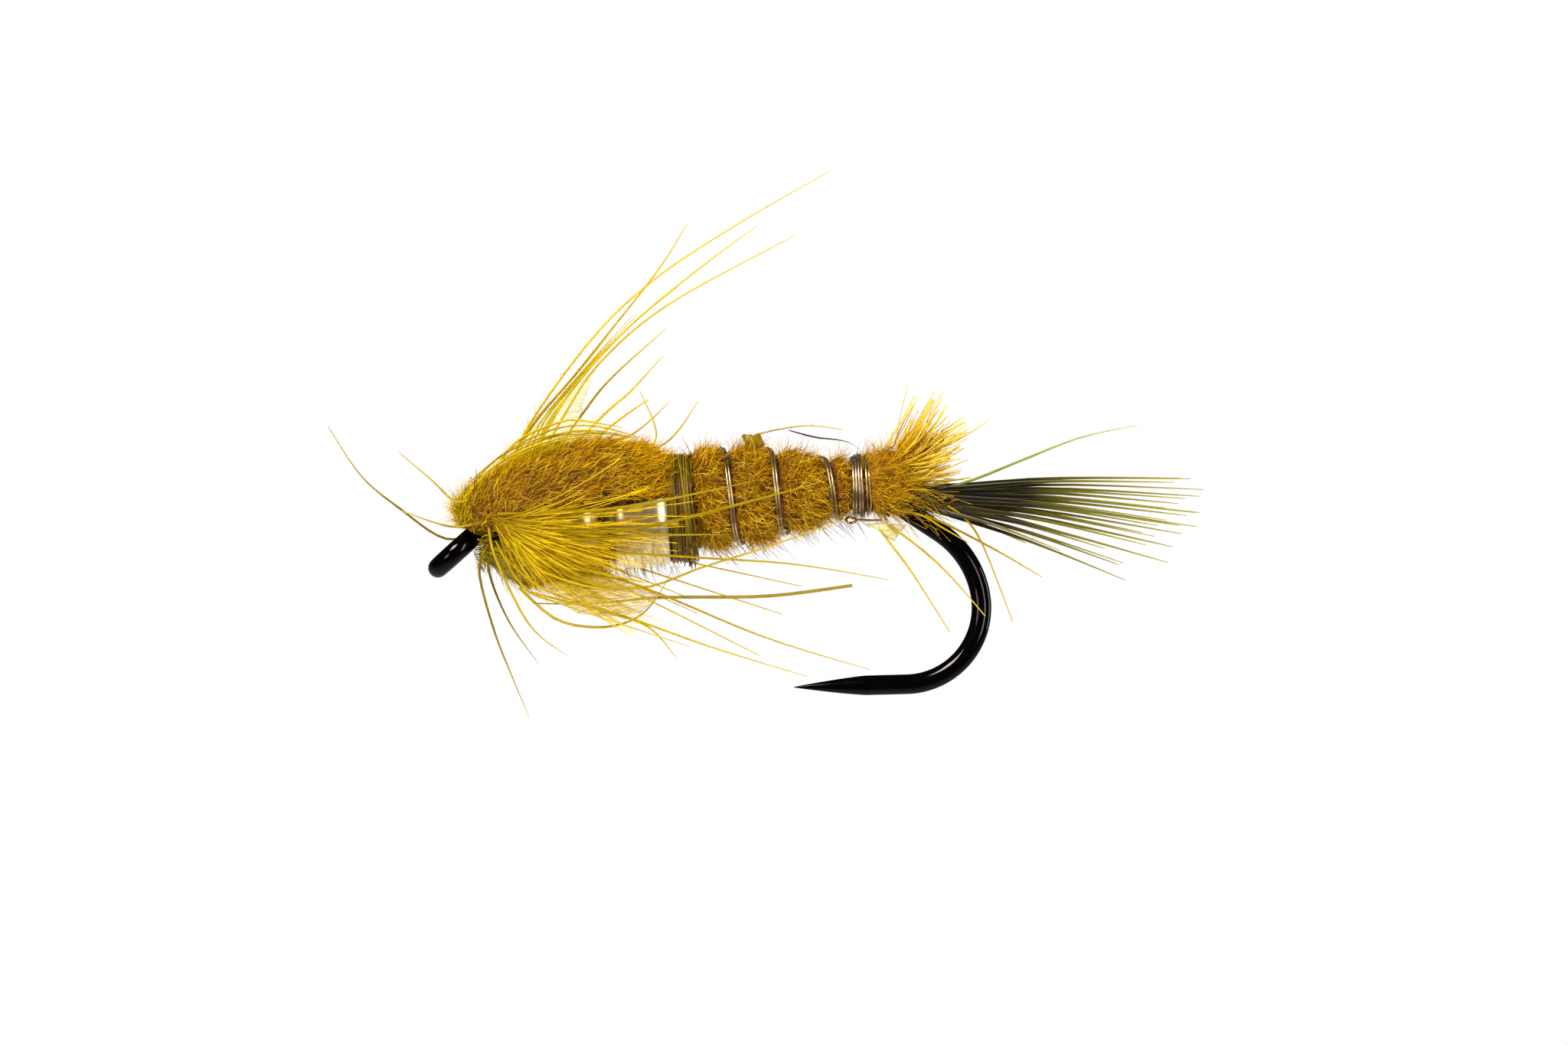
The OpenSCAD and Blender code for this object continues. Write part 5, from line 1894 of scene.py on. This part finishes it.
def sheet(name: str, edge: Any, y: float, thick: float, bow: float) -> bpy.types.Mesh:
    """Makes a thin bowed film from its edge.

    Args:
        name: The mesh's name.
        edge: The edge's x and z.
        y: Where the film hangs.
        thick: Its thickness.
        bow: How far its middle stands off its edge.

    Returns:
        A closed mesh.
    """
    rim = np.asarray(edge, float)
    middle = rim.mean(0)
    made = bmesh.new()
    layers = []
    for offset in (-thick / 2, thick / 2):
        rings = []
        for share in (1.0, 0.75, 0.5, 0.25):
            ring = middle + (rim - middle) * share
            depth = y - bow * (1 - share * share) + offset
            verts = []
            for x, z in ring:
                wave = 0.03 * noise.noise(Vector((x, z, 1)) * 3)
                verts.append(made.verts.new(Vector((x, depth + wave, z)) * MM))
            rings.append(verts)
        centre = made.verts.new(Vector((middle[0], y - bow + offset, middle[1])) * MM)
        layers.append((rings, centre))
    count = len(rim)
    for rings, centre in layers:
        for a, b in zip(rings, rings[1:]):
            for i in range(count):
                n = (i + 1) % count
                made.faces.new((a[i], a[n], b[n], b[i]))
        for i in range(count):
            made.faces.new((rings[-1][i], rings[-1][(i + 1) % count], centre))
    front, back = layers[0][0][0], layers[1][0][0]
    for i in range(count):
        n = (i + 1) % count
        made.faces.new((front[i], front[n], back[n], back[i]))
    bmesh.ops.recalc_face_normals(made, faces=made.faces)
    mesh = as_mesh(made, name)
    mesh.shade_smooth()
    return mesh


# ---- Loose barbs ----


@dataclass
class LooseBarbs:
    """Long barbs that stand up behind the head, and strays at the head, on the back and under the bend."""

    fill_count: int = 9
    wing: tuple[tuple[Point, ...], ...] = (
        (
            (1.3, 1.5, 0.8), (1.75, 1.7, 2.6), (3.8, 1.9, 5.15), (5.65, 2.2, 6.7), (7.95, 2.6, 8),
            (10.55, 3, 9.25),
        ),
        ((1.35, 1.55, 0.9), (1.85, 1.6, 2.7), (3.6, 1.3, 4.55), (5.8, 0.8, 6.9), (6.7, 0.5, 8.1)),
        (
            (1.4, 1.6, 0.9), (2.55, 1.9, 3.05), (3.6, 1.8, 4.3), (5.1, 1.6, 5.65), (7.05, 1.3, 7),
            (8.5, 1.1, 7.9),
        ),
        ((1.45, 1.65, 0.9), (3.1, 2, 3.4), (4.2, 2.2, 4.75), (6.1, 2.5, 6.1), (9.45, 2.9, 7.6)),
        ((1.5, 1.7, 0.9), (3.5, 2, 3.3), (4.4, 1.9, 4.25), (5.9, 1.7, 5.4)),
        ((1.5, 1.7, 1), (4, 2.1, 3.2), (4.85, 2.3, 3.85), (5.75, 2.5, 4.7)),
        ((1.5, 1.75, 1.1), (4.3, 2.2, 3), (5.3, 2.5, 3.6)),
        ((1.5, 1.8, 1.2), (3.5, 2.3, 2.3), (4.85, 2.5, 2.75), (5.85, 2.7, 3.5)),
        ((1.6, 1.85, 1.1), (4, 2.4, 1.9), (5.4, 2.3, 2.5), (5.1, 2.2, 3.85)),
        ((1.6, 1.85, 1.05), (4.2, 2.4, 1.9), (5.7, 2.4, 2.45), (6.6, 2.5, 3.45)),
        ((1.1, 0.5, 1.95), (1.8, 0.3, 2.75), (2.9, 0.1, 3.15), (3.5, 0, 3.17), (4.6, -0.1, 2.9)),
    )
    head: tuple[tuple[Point, ...], ...] = (
        ((0.95, 0.95, 0.7), (-0.2, 0.85, 0.35), (-1.45, 0.8, 1.3), (-2.35, 0.8, 2.2), (-3.1, 0.8, 3.55)),
        ((0.7, -1.05, 0.7), (0.1, -0.85, 0.65), (-0.45, -0.75, 0.8), (-1.35, -0.7, 1.2)),
        ((0.4, -0.75, 1.3), (0.05, -0.65, 1.35), (-0.45, -0.6, 1.9), (-1.25, -0.55, 2.7)),
    )
    back: tuple[tuple[Point, ...], ...] = (
        ((7.85, 0.2, 2.2), (8.15, 0.1, 2.45), (9.35, 0, 2.57), (10.3, -0.1, 2.4)),
        ((10.95, -0.35, 1.55), (10.47, -0.4, 2.04), (9.59, -0.42, 2.25), (8.93, -0.4, 2.48)),
    )
    bend: tuple[tuple[Point, ...], ...] = (
        ((11.1, -0.35, -0.3), (11.35, -0.4, -0.7), (11.85, -0.5, -1.5), (12.7, -0.6, -3.1)),
        (
            (11.3, -0.4, -0.2), (11.65, -0.5, -0.45), (12.35, -0.6, -1.1), (12.95, -0.6, -1.8),
            (13.65, -0.5, -2.75),
        ),
        ((12.9, -0.35, 0.2), (13.35, -0.45, -0.2), (13.75, -0.55, -0.95), (14.35, -0.7, -2.95)),
        ((12.3, -0.4, 0), (13.1, -0.5, -0.45), (14.2, -0.6, -1.15), (15.2, -0.7, -1.85)),
        ((11.5, -0.5, 0.2), (12.2, -0.55, 0), (12.7, -0.55, -0.35), (13.35, -0.5, -0.8)),
    )

    def tuft(
        self, name: str, node: str, routes: Any, finish: FibreFinish, radii: Point, down: Point, seed: int
    ) -> None:
        """Makes the barbs of one CAD node.

        Args:
            name: The piece's name.
            node: The CAD node that it replaces.
            routes: The points that each barb passes through.
            finish: The barbs' finish.
            radii: Each barb's radius from start to end.
            down: The length of its side hairs from start to end.
            seed: The seed of the hairs.
        """
        rng = np.random.default_rng(seed)
        barbs = Strands(
            finish, steps=24, sides=5, flatness=0.7, hair_spacing=0.055, hair_radius=0.005, seed=seed
        )
        for line in routes:
            barbs.add(line, radii, down, rng.uniform(0.2, 0.9))
        show(barbs.build(name), Slot.HACKLE, node)

    def build(self) -> None:
        """Makes the loose barbs."""
        self.tuft("wing_barbs", "wing_fibres", self.wing, HACKLE, (0.036, 0.034, 0.03, 0.024, 0.01),
                  (0.35, 0.35, 0.12, 0.05, 0.03), 101)
        self.tuft(
            "head_barbs", "head_fibres", self.head, OLIVE_BARB, (0.036, 0.03, 0.01), (0.1, 0.1, 0.04), 102
        )
        self.tuft(
            "bend_barbs", "bend_fibres", self.bend, HACKLE_LONG, (0.032, 0.03, 0.014), (0.08, 0.06, 0.03),
            104,
        )
        rng = np.random.default_rng(105)
        fill = Strands(HACKLE, steps=20, sides=4, hair_spacing=0.05, hair_radius=0.005, seed=5)
        for _ in range(self.fill_count):
            one, other = (
                np.array(smooth(self.wing[k], 20)) for k in rng.choice([1, 2, 3], 2, replace=False)
            )
            line = one + (other - one) * rng.uniform(0.1, 0.9)
            line = line[: int(rng.uniform(9, 16))] + rng.normal(0, 0.04, 3)
            fill.add(line, (0.026, 0.024, 0.008), (0.2, 0.14, 0.06), rng.random())
        show(fill.build("wing_fill_barbs"), Slot.HACKLE)
        gold = Strands(HACKLE, steps=20, hair_spacing=0.05, hair_radius=0.005)
        gold.add(self.back[0], (0.022, 0.018, 0.008), (0.05, 0.14, 0.1), 0.4)
        show(gold.build("back_gold_barb"), Slot.HACKLE, "back_fibres")
        dark = Strands(BACK_BARB, steps=20, hair_spacing=0.05, hair_radius=0.004)
        dark.add(self.back[1], (0.002, 0.003, 0.017, 0.022, 0.012), (0.0, 0.0, 0.14, 0.18, 0.12), 0.3)
        show(dark.build("back_dark_barb"), Slot.HACKLE)
        film = sheet(
            "bend_film",
            [
                (10.7, -0.12), (11.05, -0.1), (11.8, -0.22), (11.6, -0.42), (11.45, -0.62), (11.2, -0.5),
                (11.05, -0.3),
            ],
            -0.32, 0.03, 0.08,
        )
        show(film, Slot.WEB, "bend_web", finish=BEND_WEB)
        web = sheet(
            "wing_web",
            [
                (1.4, 2.2), (1.91, 2.72), (2.52, 3.36), (3.3, 4.0), (3.97, 4.43), (3.6, 3.6), (3.46, 3.25),
                (4.0, 3.1), (4.57, 2.75), (4.6, 2.3), (3.0, 2.2), (2.0, 2.0),
            ],
            1.5, 0.02, 0.1,
        )
        show(web, Slot.WEB, finish=WING_WEB)


# ---- Studio ----


@dataclass
class Studio:
    """The camera, a white floor, and soft light from in front, above, behind and the tail's side."""

    middle: tuple[float, float, float] = (8.61, 0.0, 0.094)
    distance: float = 300.0
    view_width: float = 40.96
    roll: float = 4.5
    floor_z: float = -19.0
    floor_r: float = 52.0
    # The world's strength as a light, and in reflections in its bright patch and round it.
    fill_strength: float = 0.5
    dark_strength: float = 0.14
    patch_strength: float = 1.4
    patch_aim: tuple[float, float, float] = (0.0, 0.5, -0.87)

    def camera(self) -> None:
        """Places the camera on the near side, level and slightly rolled."""
        data = bpy.data.cameras.new("camera")
        data.sensor_width = 36.0
        data.lens = data.sensor_width * self.distance / self.view_width
        data.clip_start = 0.01
        data.clip_end = 10.0
        camera = add_object("camera", data)
        place = Vector(self.middle) - Vector((0, self.distance, 0))
        turn = Matrix.Rotation(math.radians(self.roll), 4, "Y") @ Matrix.Rotation(math.radians(90), 4, "X")
        camera.matrix_world = Matrix.Translation(place * MM) @ turn
        bpy.context.scene.camera = camera

    def light(
        self, name: str, place: Point, size: float, power: float, mirrored: bool = True, tall: float = 1.0
    ) -> None:
        """Adds a soft light that faces the fly.

        Args:
            name: The light's name.
            place: Where it stands, from the middle of the fly, in millimetres.
            size: Its width in millimetres.
            power: Its power in watts.
            mirrored: Whether polished pieces show it.
            tall: Its height for each unit of its width.
        """
        data = bpy.data.lights.new(name, "AREA")
        data.shape = "RECTANGLE"
        data.size = size * MM
        data.size_y = size * tall * MM
        data.energy = power
        lamp = add_object(name, data)
        offset = Vector(place)
        lamp.matrix_world = Matrix.Translation((Vector(self.middle) + offset) * MM) @ (
            offset.to_track_quat("Z", "Y").to_matrix().to_4x4())
        lamp.visible_camera = False
        lamp.visible_glossy = mirrored

    def world(self) -> None:
        """Makes the world white to the camera, dimmer as a light, and mostly dark in reflections."""
        world = bpy.data.worlds.new("studio")
        world.use_nodes = True
        tree = world.node_tree
        tree.nodes.clear()
        path = add(tree, "ShaderNodeLightPath").outputs
        seen = path["Is Camera Ray"]
        way = add(tree, "ShaderNodeTexCoord").outputs["Generated"]
        toward = {0: way, 1: self.patch_aim}
        nearness = add(tree, "ShaderNodeVectorMath", toward, operation="DOT_PRODUCT").outputs["Value"]
        patch = {0: nearness, 1: 0.25, 2: 0.85, 3: self.dark_strength, 4: self.patch_strength}
        shine = add(tree, "ShaderNodeMapRange", patch).outputs[0]
        glossy = {0: path["Is Glossy Ray"], 3: self.fill_strength, 4: shine}
        strength = add(tree, "ShaderNodeMapRange", glossy).outputs[0]
        lit = add(tree, "ShaderNodeBackground", {0: (1, 1, 1, 1), 1: strength}).outputs[0]
        white = add(tree, "ShaderNodeBackground", {0: (1, 1, 1, 1), 1: 1.0}).outputs[0]
        mixed = add(tree, "ShaderNodeMixShader", {0: seen, 1: lit, 2: white}).outputs[0]
        add(tree, "ShaderNodeOutputWorld", {0: mixed})
        bpy.context.scene.world = world

    def floor(self) -> None:
        """Lays a round pale floor well below the fly."""
        material, tree, output = new_material("matt_white_card")
        grain = scattered(tree, 0.6)
        colour = ramp(tree, grain, [(0.3, "#f4f4f2"), (0.7, "#fbfbfa")])
        card = {"Base Color": colour, "Roughness": 0.9}
        tree.links.new(add(tree, "ShaderNodeBsdfPrincipled", card).outputs[0], output.inputs[0])
        made = bmesh.new()
        bmesh.ops.create_circle(made, cap_ends=True, segments=96, radius=self.floor_r * MM)
        bmesh.ops.translate(made, vec=Vector((self.middle[0], 0, self.floor_z)) * MM, verts=made.verts)
        mesh = as_mesh(made, "floor")
        mesh.materials.append(material)
        floor = add_object("floor", mesh)
        # Reflections see the world's bright patch instead of the card, which would grey the hook.
        floor.visible_glossy = False

    def build(self) -> None:
        """Sets up the studio."""
        self.camera()
        self.world()
        self.floor()
        self.light("key", (-140, -190, 220), 120, 2.5)
        self.light("fill", (200, -220, 0), 80, 0.7, tall=2.4)
        self.light("side", (290, 85, 0), 60, 0.8, tall=3.4)
        self.light("low", (-200, -220, 10), 90, 0.3)
        self.light("rim", (-60, 200, 160), 160, 1.8, False)
        self.light("back", (60, 240, -40), 180, 1.0, False)
        scene = bpy.context.scene
        scene.view_settings.view_transform = "Standard"
        scene.view_settings.look = "None"


def main() -> None:
    """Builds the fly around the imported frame."""
    logging.basicConfig(level=logging.INFO, format="%(name)s: %(message)s")
    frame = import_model()
    Studio().build()
    Hook().build()
    Beads().build(frame)
    Thread().build(frame)
    WingCase().build()
    Throat().build(frame)
    Abdomen().build()
    Tag().build()
    Tail().build()
    Hackle().build()
    LooseBarbs().build()


if __name__ == "__main__":
    main()
